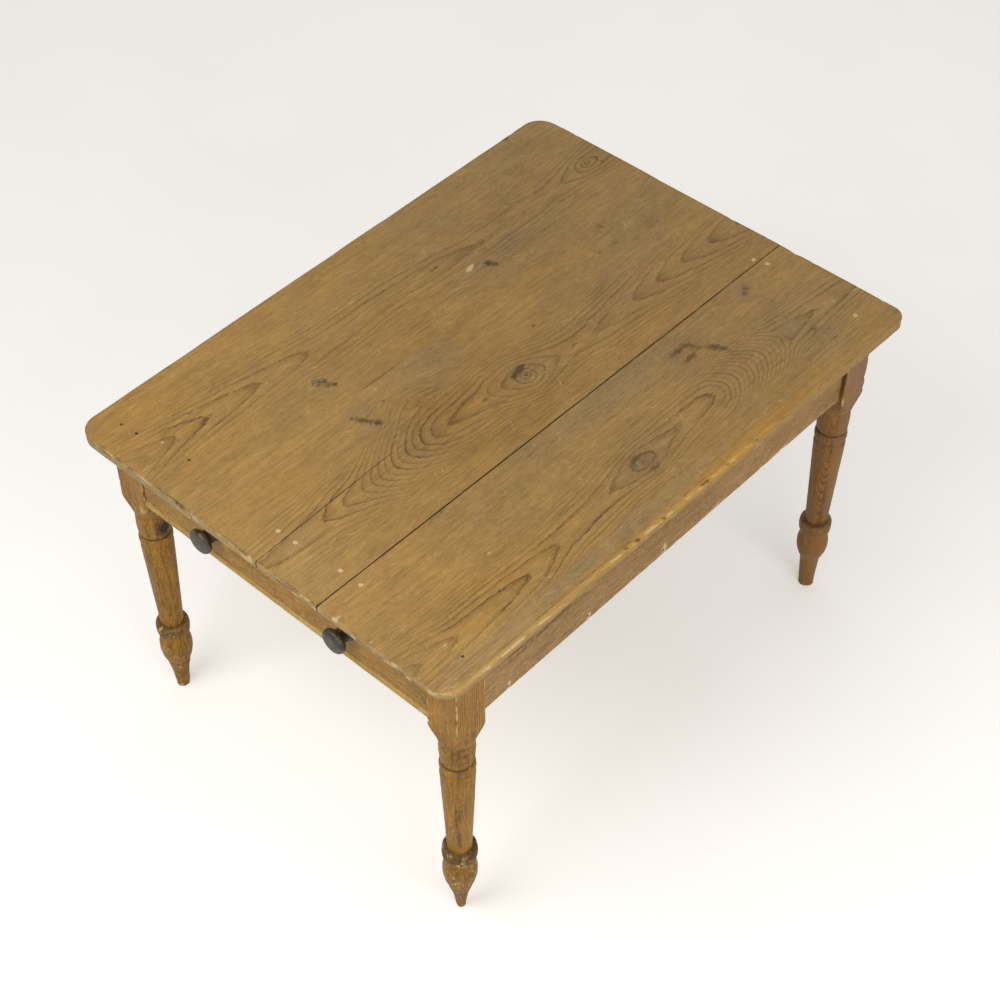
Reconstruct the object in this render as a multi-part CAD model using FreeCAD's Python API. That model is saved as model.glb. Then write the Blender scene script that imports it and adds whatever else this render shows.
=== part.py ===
import FreeCAD, Part
import math
import os

# Pine kitchen table on four turned legs, with one drawer at an end.
# Millimetres, +Z up, origin on the floor under the middle of the top; the drawer faces -Y.

Vector = FreeCAD.Vector

# Overall size
TABLE_LENGTH = 1225.0
TABLE_FRONT_WIDTH = 889.0
TABLE_BACK_WIDTH = 910.0
TABLE_HEIGHT = 735.0

# Top: three boards along Y, a tight joint on the left and an open one on the right
TOP_THICKNESS = 22.0
TOP_CORNER_RADII = {
    "front_left": 40.0,
    "front_right": 40.0,
    "back_left": 45.0,
    "back_right": 30.0,
}
TOP_ARRIS_RADIUS = 3.0
LEFT_BOARD_FRONT_WIDTH = 299.0
MIDDLE_BOARD_FRONT_WIDTH = 301.0
MIDDLE_BOARD_BACK_WIDTH = 305.5
OPEN_JOINT = 1.5

# Split in the middle board, from its drawer end; places are from the tight joint
SPLIT_WIDTH = 1.2
SPLIT_LENGTH = 332.0
SPLIT_MOUTH_OFFSET = 160.0
SPLIT_TIP_OFFSET = 148.5

# Legs: a square block above, then the turning, listed from the floor up
SIDE_OVERHANG = 28.0
END_OVERHANG = 48.5
LEG_SQUARE = 68.0
BLOCK_HEIGHT = 155.0
FOOT_HEIGHT = 84.0
FOOT_RADIUS = 20.0
FOOT_TIP_RADII = {
    "front_left": 12.5,
    "front_right": 8.0,
    "back_left": 15.0,
    "back_right": 15.5,
}
BULB_LEDGE_HEIGHT = 3.0
BULB_HEIGHT = 65.0
BULB_FOOT_RADIUS = 22.0
BULB_RADIUS = 31.5
BULB_NECK_RADIUS = 27.5
COVE_HEIGHT = 15.0
COVE_RADIUS = 26.5
COLLAR_HEIGHT = 25.0
COLLAR_EDGE_RADIUS = 31.5
COLLAR_RADIUS = 32.7
COLLAR_BEVEL_HEIGHT = 2.0
SHAFT_FOOT_RADIUS = 22.0
SHAFT_TOP_RADIUS = 31.0
SHAFT_SWELL_HEIGHT = 16.0
SHAFT_SWELL_RADIUS = 31.2
SHAFT_NECK_RADIUS = 30.2
LOW_GROOVE_HEIGHT = 4.0
LOW_GROOVE_RADIUS = 29.2
RING_HEIGHT = 19.0
RING_EDGE_RADIUS = 30.4
RING_RADIUS = 32.0
HIGH_GROOVE_HEIGHT = 5.0
HIGH_GROOVE_RADIUS = 27.8
BARREL_HEIGHT = 56.0
BARREL_EDGE_RADIUS = 29.6
BARREL_RADIUS = 31.6
STEP_HEIGHT = 4.0
STEP_RADIUS = 31.0
SHOULDER_HEIGHT = 42.0
SHOULDER_RADIUS = 33.0
SHOULDER_SPARE = 0.5

# Side and back rails, tenoned into the legs
RAIL_DEPTH = 148.0
RAIL_THICKNESS = 22.0
SIDE_RAIL_RECESS = 10.0
BACK_RAIL_RECESS = 4.0
TENON_THICKNESS = 10.0
TENON_TOP_SHOULDER = 30.0
TENON_FOOT_SHOULDER = 8.0
TENON_WEB = 6.0
MORTISE_EXTRA = 1.0

# Rails above and below the drawer
FRONT_RAIL_RECESS = 1.5
BOTTOM_RAIL_THICKNESS = 15.0
BOTTOM_TENON_THICKNESS = 8.0
BOTTOM_TENON_SHOULDER = 10.0
TOP_RAIL_THICKNESS = 20.0
DOVETAIL_THICKNESS = 12.0
DOVETAIL_LENGTH = 35.0
DOVETAIL_NECK = 28.0
DOVETAIL_END = 40.0

# Drawer box
DRAWER_LENGTH = 560.0
DRAWER_SETBACK = 1.0
DRAWER_SIDE_GAP = 1.5
DRAWER_TOP_GAP = 2.0
DRAWER_RUN_GAP = 0.3
DRAWER_FRONT_THICKNESS = 22.0
DRAWER_SIDE_THICKNESS = 12.0
DRAWER_BACK_THICKNESS = 12.0
DRAWER_BACK_DROP = 8.0
DRAWER_BOTTOM_THICKNESS = 8.0
DRAWER_BOTTOM_LIFT = 10.0
DRAWER_BOTTOM_BOARDS = ("front", "middle", "back")
GROOVE_DEPTH = 5.0
GROOVE_END_GAP = 0.5
GROOVE_PLAY = 0.2
TAIL_COUNT = 3
TAIL_WIDTH = 20.0
TAIL_SLOPE = 1.0 / 6.0
FRONT_LAP = 6.0

# Turned knobs with a spigot through the drawer front
KNOB_SPACING = 326.0
KNOB_LIFT = 51.0
KNOB_RADIUS = 25.0
KNOB_RIM_RADIUS = 22.0
KNOB_FACE_RADIUS = 16.0
KNOB_CROWN_RADIUS = 20.0
KNOB_BACK_RADIUS = 17.5
KNOB_NECK_RADIUS = 14.0
KNOB_BASE_RADIUS = 18.0
KNOB_SPIGOT_RADIUS = 7.0
KNOB_BASE_HEIGHT = 4.0
KNOB_NECK_HEIGHT = 13.0
KNOB_BACK_HEIGHT = 3.0
KNOB_RIM_HEIGHT = 12.0
KNOB_CROWN_HEIGHT = 3.0

# Strips that carry, guide and hold down the drawer
RUNNER_LEDGE = 24.0
RUNNER_SPARE = 16.0
GUIDE_HEIGHT = 27.0
STOP_SPACING = 400.0
STOP_WIDTH = 40.0
STOP_LENGTH = 25.0
STOP_HEIGHT = 6.0
STOP_GAP = 0.3

# Nails and the fillings over the deepest ones. A bite is how far a point goes into the last piece,
# and a spare how far it stays from the far face of that piece.
NAIL_HEAD_RADIUS = 3.0
NAIL_HEAD_THICKNESS = 1.5
NAIL_SHANK_RADIUS = 1.5
NAIL_POINT = 4.0
TOP_NAIL_SPARE = 1.5
TOP_NAIL_SINK = 0.6
FILLING_RADIUS = 4.0
FILLING_DEPTH = 3.0
RUNNER_NAIL_BITE = 23.0
RUNNER_NAIL_SINK = 0.3
RUNNER_NAIL_LIFT = 11.0
RUNNER_NAIL_COUNT = 3
RUNNER_NAIL_FRONT_INSET = 63.0
RUNNER_NAIL_BACK_INSET = 43.0
GUIDE_NAIL_SPARE = 6.0
GUIDE_NAIL_SHIFT = 29.0
BOTTOM_NAIL_BITE = 22.0
BOTTOM_NAIL_COUNT = 4
BOTTOM_NAIL_INSET = 70.0

# Nails through the top: what each stands beside, how far from that in X, how far in from the
# outer face of the rail below, and whether it is filled over
FRONT_NAILS = (
    ("left leg", -10.0, 10.5, False),
    ("left leg", 26.5, 13.5, False),
    ("tight joint", -95.0, 32.0, False),
    ("right leg", 15.5, 34.0, False),
    ("split", -20.0, 22.0, True),
    ("split", 18.5, 23.0, True),
    ("open joint", -25.0, 30.0, True),
    ("open joint", 20.5, 30.5, True),
)
BACK_NAILS = (
    ("open joint", -9.0, 17.5, True),
    ("open joint", 17.0, 9.0, True),
    ("right leg", 2.5, 17.5, True),
)

# Room that a cutting shape has past the face it cuts
CUT_SPARE = 2.0

# Places that follow from the sizes
HALF_LENGTH = TABLE_LENGTH / 2
HALF_FRONT_WIDTH = TABLE_FRONT_WIDTH / 2
HALF_BACK_WIDTH = TABLE_BACK_WIDTH / 2
LEG_HEIGHT = TABLE_HEIGHT - TOP_THICKNESS
LEG_X = HALF_FRONT_WIDTH - SIDE_OVERHANG - LEG_SQUARE / 2
LEG_Y = HALF_LENGTH - END_OVERHANG - LEG_SQUARE / 2
LEG_INNER_X = LEG_X - LEG_SQUARE / 2
LEG_INNER_Y = LEG_Y - LEG_SQUARE / 2
RAIL_OUTER_X = LEG_X + LEG_SQUARE / 2 - SIDE_RAIL_RECESS
RAIL_INNER_X = RAIL_OUTER_X - RAIL_THICKNESS
RAIL_OUTER_Y = LEG_Y + LEG_SQUARE / 2 - BACK_RAIL_RECESS
RAIL_INNER_Y = RAIL_OUTER_Y - RAIL_THICKNESS
RAIL_BOTTOM = LEG_HEIGHT - RAIL_DEPTH
TENON_ROOM = LEG_SQUARE - (RAIL_THICKNESS + TENON_THICKNESS) / 2 - MORTISE_EXTRA - TENON_WEB
SIDE_TENON_LENGTH = TENON_ROOM - BACK_RAIL_RECESS
CROSS_TENON_LENGTH = TENON_ROOM - SIDE_RAIL_RECESS
LEFT_JOINT_X = LEFT_BOARD_FRONT_WIDTH - HALF_FRONT_WIDTH
FRONT_Y = FRONT_RAIL_RECESS - LEG_Y - LEG_SQUARE / 2
FRONT_RAIL_BACK_Y = -LEG_INNER_Y
DRAWER_FLOOR = RAIL_BOTTOM + BOTTOM_RAIL_THICKNESS
DRAWER_CEILING = LEG_HEIGHT - TOP_RAIL_THICKNESS
DRAWER_X = LEG_INNER_X - DRAWER_SIDE_GAP
DRAWER_INNER_X = DRAWER_X - DRAWER_SIDE_THICKNESS
DRAWER_FRONT_Y = FRONT_Y + DRAWER_SETBACK
DRAWER_SHOULDER_Y = DRAWER_FRONT_Y + DRAWER_FRONT_THICKNESS
DRAWER_BACK_Y = DRAWER_FRONT_Y + DRAWER_LENGTH
DRAWER_LOW = DRAWER_FLOOR + DRAWER_RUN_GAP
DRAWER_HIGH = DRAWER_CEILING - DRAWER_TOP_GAP
BOTTOM_BOARD_Z = DRAWER_LOW + DRAWER_BOTTOM_LIFT
BOTTOM_BOARD_TOP = BOTTOM_BOARD_Z + DRAWER_BOTTOM_THICKNESS
STRIP_BACK_Y = DRAWER_BACK_Y + RUNNER_SPARE
STRIP_INNER_X = LEG_INNER_X - RUNNER_LEDGE
TOP_NAIL_LENGTH = TOP_THICKNESS + TOP_RAIL_THICKNESS - FILLING_DEPTH - TOP_NAIL_SPARE
RUNNER_NAIL_LENGTH = RAIL_THICKNESS - RUNNER_NAIL_SINK + RUNNER_NAIL_BITE
GUIDE_NAIL_LENGTH = GUIDE_HEIGHT + BOTTOM_RAIL_THICKNESS - GUIDE_NAIL_SPARE
BOTTOM_NAIL_LENGTH = DRAWER_BOTTOM_THICKNESS + BOTTOM_NAIL_BITE


def block(low, high):
    """A box between two corners."""
    size = [b - a for a, b in zip(low, high)]
    return Part.makeBox(size[0], size[1], size[2], Vector(*low))


def prism(points, direction):
    """A flat outline pushed along a direction."""
    corners = [Vector(*point) for point in points]
    return Part.Face(Part.makePolygon(corners + corners[:1])).extrude(direction)


def mirrored(shape):
    """The same shape on the other side of the table."""
    return shape.mirror(Vector(0, 0, 0), Vector(1, 0, 0))


def turned(start_radius, steps, start=0.0):
    """A solid turned about Z. Each step is (rise, end radius, radius half way or None)."""
    axis_point = Vector(0, 0, start)
    point = Vector(start_radius, 0, start)
    edges = [Part.LineSegment(axis_point, point).toShape()]
    for rise, radius, middle in steps:
        end = Vector(radius, 0, point.z + rise)
        if middle is None:
            curve = Part.LineSegment(point, end)
        else:
            curve = Part.Arc(point, Vector(middle, 0, point.z + rise / 2), end)
        edges.append(curve.toShape())
        point = end
    top = Vector(0, 0, point.z)
    edges.append(Part.LineSegment(point, top).toShape())
    edges.append(Part.LineSegment(top, axis_point).toShape())
    return Part.Face(Part.Wire(edges)).revolve(Vector(0, 0, 0), Vector(0, 0, 1), 360)


def aimed(shape, point, direction):
    """A copy of a shape made about Z, with its -Z along a direction and its origin at a point."""
    copy = shape.copy()
    copy.Placement = FreeCAD.Placement(Vector(*point), FreeCAD.Rotation(Vector(0, 0, -1), direction))
    return copy


def cut_by(shape, tools):
    """A shape less every tool that meets it."""
    for tool in tools:
        if shape.BoundBox.intersect(tool.BoundBox):
            shape = shape.cut(tool)
    return shape


def right_joint_x(y):
    """Where the middle board ends, which is a little wider at the back."""
    share = (y + HALF_LENGTH) / TABLE_LENGTH
    width = MIDDLE_BOARD_FRONT_WIDTH + share * (MIDDLE_BOARD_BACK_WIDTH - MIDDLE_BOARD_FRONT_WIDTH)
    return LEFT_JOINT_X + width


def split_x(y):
    """The line of the split in the middle board."""
    share = (y + HALF_LENGTH) / SPLIT_LENGTH
    return LEFT_JOINT_X + SPLIT_MOUTH_OFFSET + share * (SPLIT_TIP_OFFSET - SPLIT_MOUTH_OFFSET)


def nail(length):
    """A nail hanging down from the middle of its head."""
    shank = length - NAIL_HEAD_THICKNESS - NAIL_POINT
    steps = [
        (NAIL_POINT, NAIL_SHANK_RADIUS, None),
        (shank, NAIL_SHANK_RADIUS, None),
        (0.0, NAIL_HEAD_RADIUS, None),
        (NAIL_HEAD_THICKNESS, NAIL_HEAD_RADIUS, None),
    ]
    return turned(NAIL_SHANK_RADIUS / 2, steps, -length)


def even_places(first, last, count):
    """Evenly spaced places from the first to the last."""
    return [first + (last - first) * i / (count - 1) for i in range(count)]


def top_nail_places():
    """Where the top is nailed down, as (x, y, filled over)."""
    places = []
    rows = [(nail_row, FRONT_Y + nail_row[2]) for nail_row in FRONT_NAILS]
    rows += [(nail_row, RAIL_OUTER_Y - nail_row[2]) for nail_row in BACK_NAILS]
    for (neighbour, offset, _, filled), y in rows:
        beside = {
            "left leg": -LEG_X,
            "right leg": LEG_X,
            "tight joint": LEFT_JOINT_X,
            "split": split_x(y),
            "open joint": right_joint_x(y),
        }
        places.append((beside[neighbour] + offset, y, filled))
    return places


def top_nails_and_fillings():
    """Nails through the top, the fillings over the deep ones, and the holes they need."""
    nails = []
    fillings = []
    holes = []
    down = Vector(0, 0, -1)
    for x, y, filled in top_nail_places():
        sink = FILLING_DEPTH if filled else TOP_NAIL_SINK
        radius = FILLING_RADIUS if filled else NAIL_HEAD_RADIUS
        head = (x, y, TABLE_HEIGHT - sink)
        nails.append(aimed(nail(TOP_NAIL_LENGTH), head, down))
        hole = Part.makeCylinder(radius, sink + CUT_SPARE, Vector(*head))
        holes.append(nails[-1].fuse(hole))
        if filled:
            fillings.append(Part.makeCylinder(radius, sink, Vector(*head)))
    return nails, fillings, holes


def runner_nail_places():
    """Distances along Y of the nails through a side rail into its drawer runner."""
    first = -LEG_INNER_Y + RUNNER_NAIL_FRONT_INSET
    last = STRIP_BACK_Y - RUNNER_NAIL_BACK_INSET
    return even_places(first, last, RUNNER_NAIL_COUNT)


def runner_nails():
    """Nails through the right side rail into its runner, and the sunk ends of their holes."""
    x = RAIL_OUTER_X - RUNNER_NAIL_SINK
    heads = [(x, y, RAIL_BOTTOM + RUNNER_NAIL_LIFT) for y in runner_nail_places()]
    depth = RUNNER_NAIL_SINK + CUT_SPARE
    out = Vector(1, 0, 0)
    nails = [aimed(nail(RUNNER_NAIL_LENGTH), head, -out) for head in heads]
    return nails, [Part.makeCylinder(NAIL_HEAD_RADIUS, depth, Vector(*head), out) for head in heads]


def guide_nails():
    """Nails down through the right guide into its runner."""
    x = (LEG_INNER_X + RAIL_INNER_X) / 2
    z = DRAWER_FLOOR + GUIDE_HEIGHT
    places = [(x, y - GUIDE_NAIL_SHIFT, z) for y in runner_nail_places()]
    return [aimed(nail(GUIDE_NAIL_LENGTH), place, Vector(0, 0, -1)) for place in places]


def bottom_nails():
    """Nails up through the drawer bottom into the drawer back."""
    y = DRAWER_BACK_Y - DRAWER_BACK_THICKNESS / 2
    reach = DRAWER_INNER_X - BOTTOM_NAIL_INSET
    places = [(x, y, BOTTOM_BOARD_Z) for x in even_places(-reach, reach, BOTTOM_NAIL_COUNT)]
    return [aimed(nail(BOTTOM_NAIL_LENGTH), place, Vector(0, 0, 1)) for place in places]


def top_slab():
    """The whole top before it is parted into boards, with rounded corners and a softened edge."""
    corners = {
        "front_left": (-HALF_FRONT_WIDTH, -HALF_LENGTH, LEG_HEIGHT),
        "front_right": (HALF_FRONT_WIDTH, -HALF_LENGTH, LEG_HEIGHT),
        "back_right": (HALF_BACK_WIDTH, HALF_LENGTH, LEG_HEIGHT),
        "back_left": (-HALF_BACK_WIDTH, HALF_LENGTH, LEG_HEIGHT),
    }
    slab = prism(list(corners.values()), Vector(0, 0, TOP_THICKNESS))
    for corner, radius in TOP_CORNER_RADII.items():
        point = Part.Vertex(*corners[corner])
        upright = [edge for edge in slab.Edges if edge.BoundBox.ZLength > TOP_THICKNESS / 2]
        slab = slab.makeFillet(radius, [min(upright, key=lambda edge: edge.distToShape(point)[0])])
    upper = [edge for edge in slab.Edges if edge.BoundBox.ZMin > TABLE_HEIGHT - TOP_THICKNESS / 2]
    return slab.makeFillet(TOP_ARRIS_RADIUS, upper)


def top_boards(holes):
    """Left, middle and right boards, cut from the slab along their joints."""
    front = -HALF_LENGTH - CUT_SPARE
    back = HALF_LENGTH + CUT_SPARE
    floor = LEG_HEIGHT - CUT_SPARE
    rise = Vector(0, 0, TOP_THICKNESS + 2 * CUT_SPARE)
    right = max(HALF_FRONT_WIDTH, HALF_BACK_WIDTH) + CUT_SPARE
    left = -right
    joint_front = right_joint_x(front)
    joint_back = right_joint_x(back)
    outlines = {
        "left": [(left, front), (LEFT_JOINT_X, front), (LEFT_JOINT_X, back), (left, back)],
        "middle": [(LEFT_JOINT_X, front), (joint_front, front), (joint_back, back), (LEFT_JOINT_X, back)],
        "right": [(joint_front + OPEN_JOINT, front), (right, front), (right, back),
                  (joint_back + OPEN_JOINT, back)],
    }
    slab = top_slab()
    boards = {}
    for name, outline in outlines.items():
        boards[name] = slab.common(prism([(x, y, floor) for x, y in outline], rise))
    mouth = split_x(front)
    tip = (split_x(SPLIT_LENGTH - HALF_LENGTH), SPLIT_LENGTH - HALF_LENGTH, floor)
    split = [(mouth - SPLIT_WIDTH / 2, front, floor), (mouth + SPLIT_WIDTH / 2, front, floor), tip]
    boards["middle"] = boards["middle"].cut(prism(split, rise))
    return {name: cut_by(board, holes) for name, board in boards.items()}


def shoulder_steps():
    """The ogee that runs the round out to the corners of the square block, then the block."""
    corner = LEG_SQUARE / math.sqrt(2) + SHOULDER_SPARE
    rise = SHOULDER_HEIGHT / 2
    spread = (corner - SHOULDER_RADIUS) / 2
    sweep = (rise ** 2 + spread ** 2) / (2 * spread)
    bow = sweep - math.sqrt(sweep ** 2 - (rise / 2) ** 2)
    return [
        (rise, SHOULDER_RADIUS + spread, SHOULDER_RADIUS + bow),
        (rise, corner, corner - bow),
        (BLOCK_HEIGHT, corner, None),
    ]


def leg_blank(tip_radius):
    """A leg turned from a square length, from the worn foot up to the block left square."""
    lower = [
        (FOOT_HEIGHT, FOOT_RADIUS, None),
        (BULB_LEDGE_HEIGHT, BULB_FOOT_RADIUS, None),
        (BULB_HEIGHT, BULB_NECK_RADIUS, BULB_RADIUS),
        (COVE_HEIGHT, BULB_NECK_RADIUS, COVE_RADIUS),
        (0.0, COLLAR_EDGE_RADIUS, None),
        (COLLAR_HEIGHT, COLLAR_EDGE_RADIUS, COLLAR_RADIUS),
        (COLLAR_BEVEL_HEIGHT, SHAFT_FOOT_RADIUS, None),
    ]
    upper = [
        (SHAFT_SWELL_HEIGHT, SHAFT_NECK_RADIUS, SHAFT_SWELL_RADIUS),
        (0.0, LOW_GROOVE_RADIUS, None),
        (LOW_GROOVE_HEIGHT, LOW_GROOVE_RADIUS, None),
        (0.0, RING_EDGE_RADIUS, None),
        (RING_HEIGHT, RING_EDGE_RADIUS, RING_RADIUS),
        (0.0, HIGH_GROOVE_RADIUS, None),
        (HIGH_GROOVE_HEIGHT, HIGH_GROOVE_RADIUS, None),
        (0.0, BARREL_EDGE_RADIUS, None),
        (BARREL_HEIGHT, BARREL_EDGE_RADIUS, BARREL_RADIUS),
        (0.0, STEP_RADIUS, None),
        (STEP_HEIGHT, STEP_RADIUS, None),
        (0.0, SHOULDER_RADIUS, None),
    ] + shoulder_steps()
    shaft = LEG_HEIGHT - sum(step[0] for step in lower + upper)
    turning = turned(tip_radius, lower + [(shaft, SHAFT_TOP_RADIUS, None)] + upper)
    half = LEG_SQUARE / 2
    return turning.common(block((-half, -half, 0), (half, half, LEG_HEIGHT)))


def leg(corner, mortises):
    """One leg at its corner, with the mortises of the rails that meet there."""
    end, side = corner.split("_")
    blank = leg_blank(FOOT_TIP_RADII[corner])
    blank.translate(Vector(LEG_X if side == "right" else -LEG_X, LEG_Y if end == "back" else -LEG_Y, 0))
    return cut_by(blank, mortises)


def side_rail():
    """The right side rail with its tenons, and their mortises."""
    middle = (RAIL_OUTER_X + RAIL_INNER_X) / 2
    low_z = RAIL_BOTTOM + TENON_FOOT_SHOULDER
    high_z = LEG_HEIGHT - TENON_TOP_SHOULDER
    rail = block((RAIL_INNER_X, -LEG_INNER_Y, RAIL_BOTTOM), (RAIL_OUTER_X, LEG_INNER_Y, LEG_HEIGHT))
    near = middle - TENON_THICKNESS / 2
    far = middle + TENON_THICKNESS / 2
    tenon_y = LEG_INNER_Y + SIDE_TENON_LENGTH
    mortise_y = tenon_y + MORTISE_EXTRA
    rail = rail.fuse(block((near, -tenon_y, low_z), (far, tenon_y, high_z))).removeSplitter()
    return rail, block((near, -mortise_y, low_z), (far, mortise_y, high_z))


def back_rail():
    """The back rail with its tenons, and their mortises."""
    middle = (RAIL_OUTER_Y + RAIL_INNER_Y) / 2
    low_z = RAIL_BOTTOM + TENON_FOOT_SHOULDER
    high_z = LEG_HEIGHT - TENON_TOP_SHOULDER
    rail = block((-LEG_INNER_X, RAIL_INNER_Y, RAIL_BOTTOM), (LEG_INNER_X, RAIL_OUTER_Y, LEG_HEIGHT))
    near = middle - TENON_THICKNESS / 2
    far = middle + TENON_THICKNESS / 2
    tenon_x = LEG_INNER_X + CROSS_TENON_LENGTH
    mortise_x = tenon_x + MORTISE_EXTRA
    rail = rail.fuse(block((-tenon_x, near, low_z), (tenon_x, far, high_z))).removeSplitter()
    return rail, block((-mortise_x, near, low_z), (mortise_x, far, high_z))


def front_bottom_rail():
    """The thin rail under the drawer, stub-tenoned into the legs, and its mortises."""
    rail = block((-LEG_INNER_X, FRONT_Y, RAIL_BOTTOM), (LEG_INNER_X, FRONT_RAIL_BACK_Y, DRAWER_FLOOR))
    near = FRONT_Y + BOTTOM_TENON_SHOULDER
    far = FRONT_RAIL_BACK_Y - BOTTOM_TENON_SHOULDER
    tenon_z = RAIL_BOTTOM + (BOTTOM_RAIL_THICKNESS - BOTTOM_TENON_THICKNESS) / 2
    tenon_top = tenon_z + BOTTOM_TENON_THICKNESS
    tenon_x = LEG_INNER_X + CROSS_TENON_LENGTH
    mortise_x = tenon_x + MORTISE_EXTRA
    rail = rail.fuse(block((-tenon_x, near, tenon_z), (tenon_x, far, tenon_top))).removeSplitter()
    return rail, block((-mortise_x, near, tenon_z), (mortise_x, far, tenon_top))


def front_top_rail():
    """The rail over the drawer, dovetailed into the tops of the front legs, and those dovetails."""
    rail = block((-LEG_INNER_X, FRONT_Y, DRAWER_CEILING), (LEG_INNER_X, FRONT_RAIL_BACK_Y, LEG_HEIGHT))
    middle = (FRONT_Y + FRONT_RAIL_BACK_Y) / 2
    neck_x = LEG_INNER_X
    end_x = LEG_INNER_X + DOVETAIL_LENGTH
    z = LEG_HEIGHT - DOVETAIL_THICKNESS
    outline = [
        (neck_x, middle - DOVETAIL_NECK / 2, z),
        (end_x, middle - DOVETAIL_END / 2, z),
        (end_x, middle + DOVETAIL_END / 2, z),
        (neck_x, middle + DOVETAIL_NECK / 2, z),
    ]
    tail = prism(outline, Vector(0, 0, DOVETAIL_THICKNESS))
    tails = [tail, mirrored(tail)]
    return rail.multiFuse(tails).removeSplitter(), tails


def drawer_runner():
    """The right strip that the drawer side runs on, nailed through the side rail."""
    low = (STRIP_INNER_X, -LEG_INNER_Y, RAIL_BOTTOM)
    return block(low, (RAIL_INNER_X, STRIP_BACK_Y, DRAWER_FLOOR))


def drawer_guide():
    """The right strip beside the drawer, nailed down on the runner."""
    low = (LEG_INNER_X, -LEG_INNER_Y, DRAWER_FLOOR)
    return block(low, (RAIL_INNER_X, STRIP_BACK_Y, DRAWER_FLOOR + GUIDE_HEIGHT))


def kicker():
    """The right strip over the drawer side, which keeps an open drawer level."""
    low = (STRIP_INNER_X, -LEG_INNER_Y, DRAWER_CEILING)
    return block(low, (RAIL_INNER_X, STRIP_BACK_Y, LEG_HEIGHT))


def drawer_stop():
    """The right block on the bottom rail that the drawer front closes against."""
    x = STOP_SPACING / 2 - STOP_WIDTH / 2
    y = DRAWER_SHOULDER_Y + STOP_GAP
    return block((x, y, DRAWER_FLOOR), (x + STOP_WIDTH, y + STOP_LENGTH, DRAWER_FLOOR + STOP_HEIGHT))


def tails(low_z, high_z, root_y, end_y):
    """Dovetail tails on the right drawer side, widening from the root to the end."""
    spread = abs(end_y - root_y) * TAIL_SLOPE
    pitch = (high_z - low_z) / TAIL_COUNT
    root = TAIL_WIDTH / 2 - spread
    end = TAIL_WIDTH / 2
    across = Vector(DRAWER_SIDE_THICKNESS, 0, 0)
    solids = []
    for i in range(TAIL_COUNT):
        z = low_z + (i + 1.0 / 2) * pitch
        outline = [
            (DRAWER_INNER_X, root_y, z - root),
            (DRAWER_INNER_X, end_y, z - end),
            (DRAWER_INNER_X, end_y, z + end),
            (DRAWER_INNER_X, root_y, z + root),
        ]
        solids.append(prism(outline, across))
    return solids


def both_sides(shapes):
    """Shapes of the right side and their mirror images."""
    return shapes + [mirrored(shape) for shape in shapes]


def knob_place(side):
    """The point where a knob meets the drawer front."""
    return (side * KNOB_SPACING / 2, DRAWER_FRONT_Y, DRAWER_LOW + KNOB_LIFT)


def knob(side):
    """A mushroom knob with its spigot, turned in one piece."""
    steps = [
        (DRAWER_FRONT_THICKNESS, KNOB_SPIGOT_RADIUS, None),
        (0.0, KNOB_BASE_RADIUS, None),
        (KNOB_BASE_HEIGHT, KNOB_NECK_RADIUS, None),
        (KNOB_NECK_HEIGHT, KNOB_NECK_RADIUS, None),
        (KNOB_BACK_HEIGHT, KNOB_RIM_RADIUS, KNOB_BACK_RADIUS),
        (KNOB_RIM_HEIGHT, KNOB_RIM_RADIUS, KNOB_RADIUS),
        (KNOB_CROWN_HEIGHT, KNOB_FACE_RADIUS, KNOB_CROWN_RADIUS),
    ]
    shape = turned(KNOB_SPIGOT_RADIUS, steps, -DRAWER_FRONT_THICKNESS)
    return aimed(shape, knob_place(side), Vector(0, 1, 0))


def drawer_bottom_groove():
    """The groove for the drawer bottom in the front and both sides, right through their joints."""
    x = DRAWER_INNER_X + GROOVE_DEPTH
    low = (-x, DRAWER_SHOULDER_Y - GROOVE_DEPTH, BOTTOM_BOARD_Z)
    return block(low, (x, DRAWER_BACK_Y + CUT_SPARE, BOTTOM_BOARD_TOP + GROOVE_PLAY))


def drawer_front(knobs):
    """The drawer front with blind sockets for the tails, the groove and the knob holes."""
    low = (-DRAWER_X, DRAWER_FRONT_Y, DRAWER_LOW)
    front = block(low, (DRAWER_X, DRAWER_SHOULDER_Y, DRAWER_HIGH))
    sockets = tails(DRAWER_LOW, DRAWER_HIGH, DRAWER_SHOULDER_Y, DRAWER_FRONT_Y + FRONT_LAP)
    return cut_by(front, both_sides(sockets) + [drawer_bottom_groove()] + knobs)


def drawer_back(nails):
    """The drawer back, which stands on the bottom boards between the ends of the sides."""
    low = (-DRAWER_X, DRAWER_BACK_Y - DRAWER_BACK_THICKNESS, BOTTOM_BOARD_TOP)
    high = (DRAWER_X, DRAWER_BACK_Y, DRAWER_HIGH - DRAWER_BACK_DROP)
    sockets = tails(low[2], high[2], low[1], high[1])
    return cut_by(block(low, high), both_sides(sockets) + nails)


def drawer_side(front, back):
    """The right drawer side, with tails that fill the sockets of the front and the back."""
    blank = block(
        (DRAWER_INNER_X, DRAWER_FRONT_Y + FRONT_LAP, DRAWER_LOW), (DRAWER_X, DRAWER_BACK_Y, DRAWER_HIGH))
    return cut_by(blank, [front, back, drawer_bottom_groove()])


def drawer_bottom(nails):
    """The bottom boards, with their grain across the drawer, one behind the other."""
    x = DRAWER_INNER_X + GROOVE_DEPTH - GROOVE_END_GAP
    front = DRAWER_SHOULDER_Y - GROOVE_DEPTH + GROOVE_END_GAP
    width = (DRAWER_BACK_Y - front) / len(DRAWER_BOTTOM_BOARDS)
    boards = {}
    for i, name in enumerate(DRAWER_BOTTOM_BOARDS):
        low = (-x, front + i * width, BOTTOM_BOARD_Z)
        boards[name] = cut_by(block(low, (x, front + (i + 1) * width, BOTTOM_BOARD_TOP)), nails)
    return boards


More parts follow.
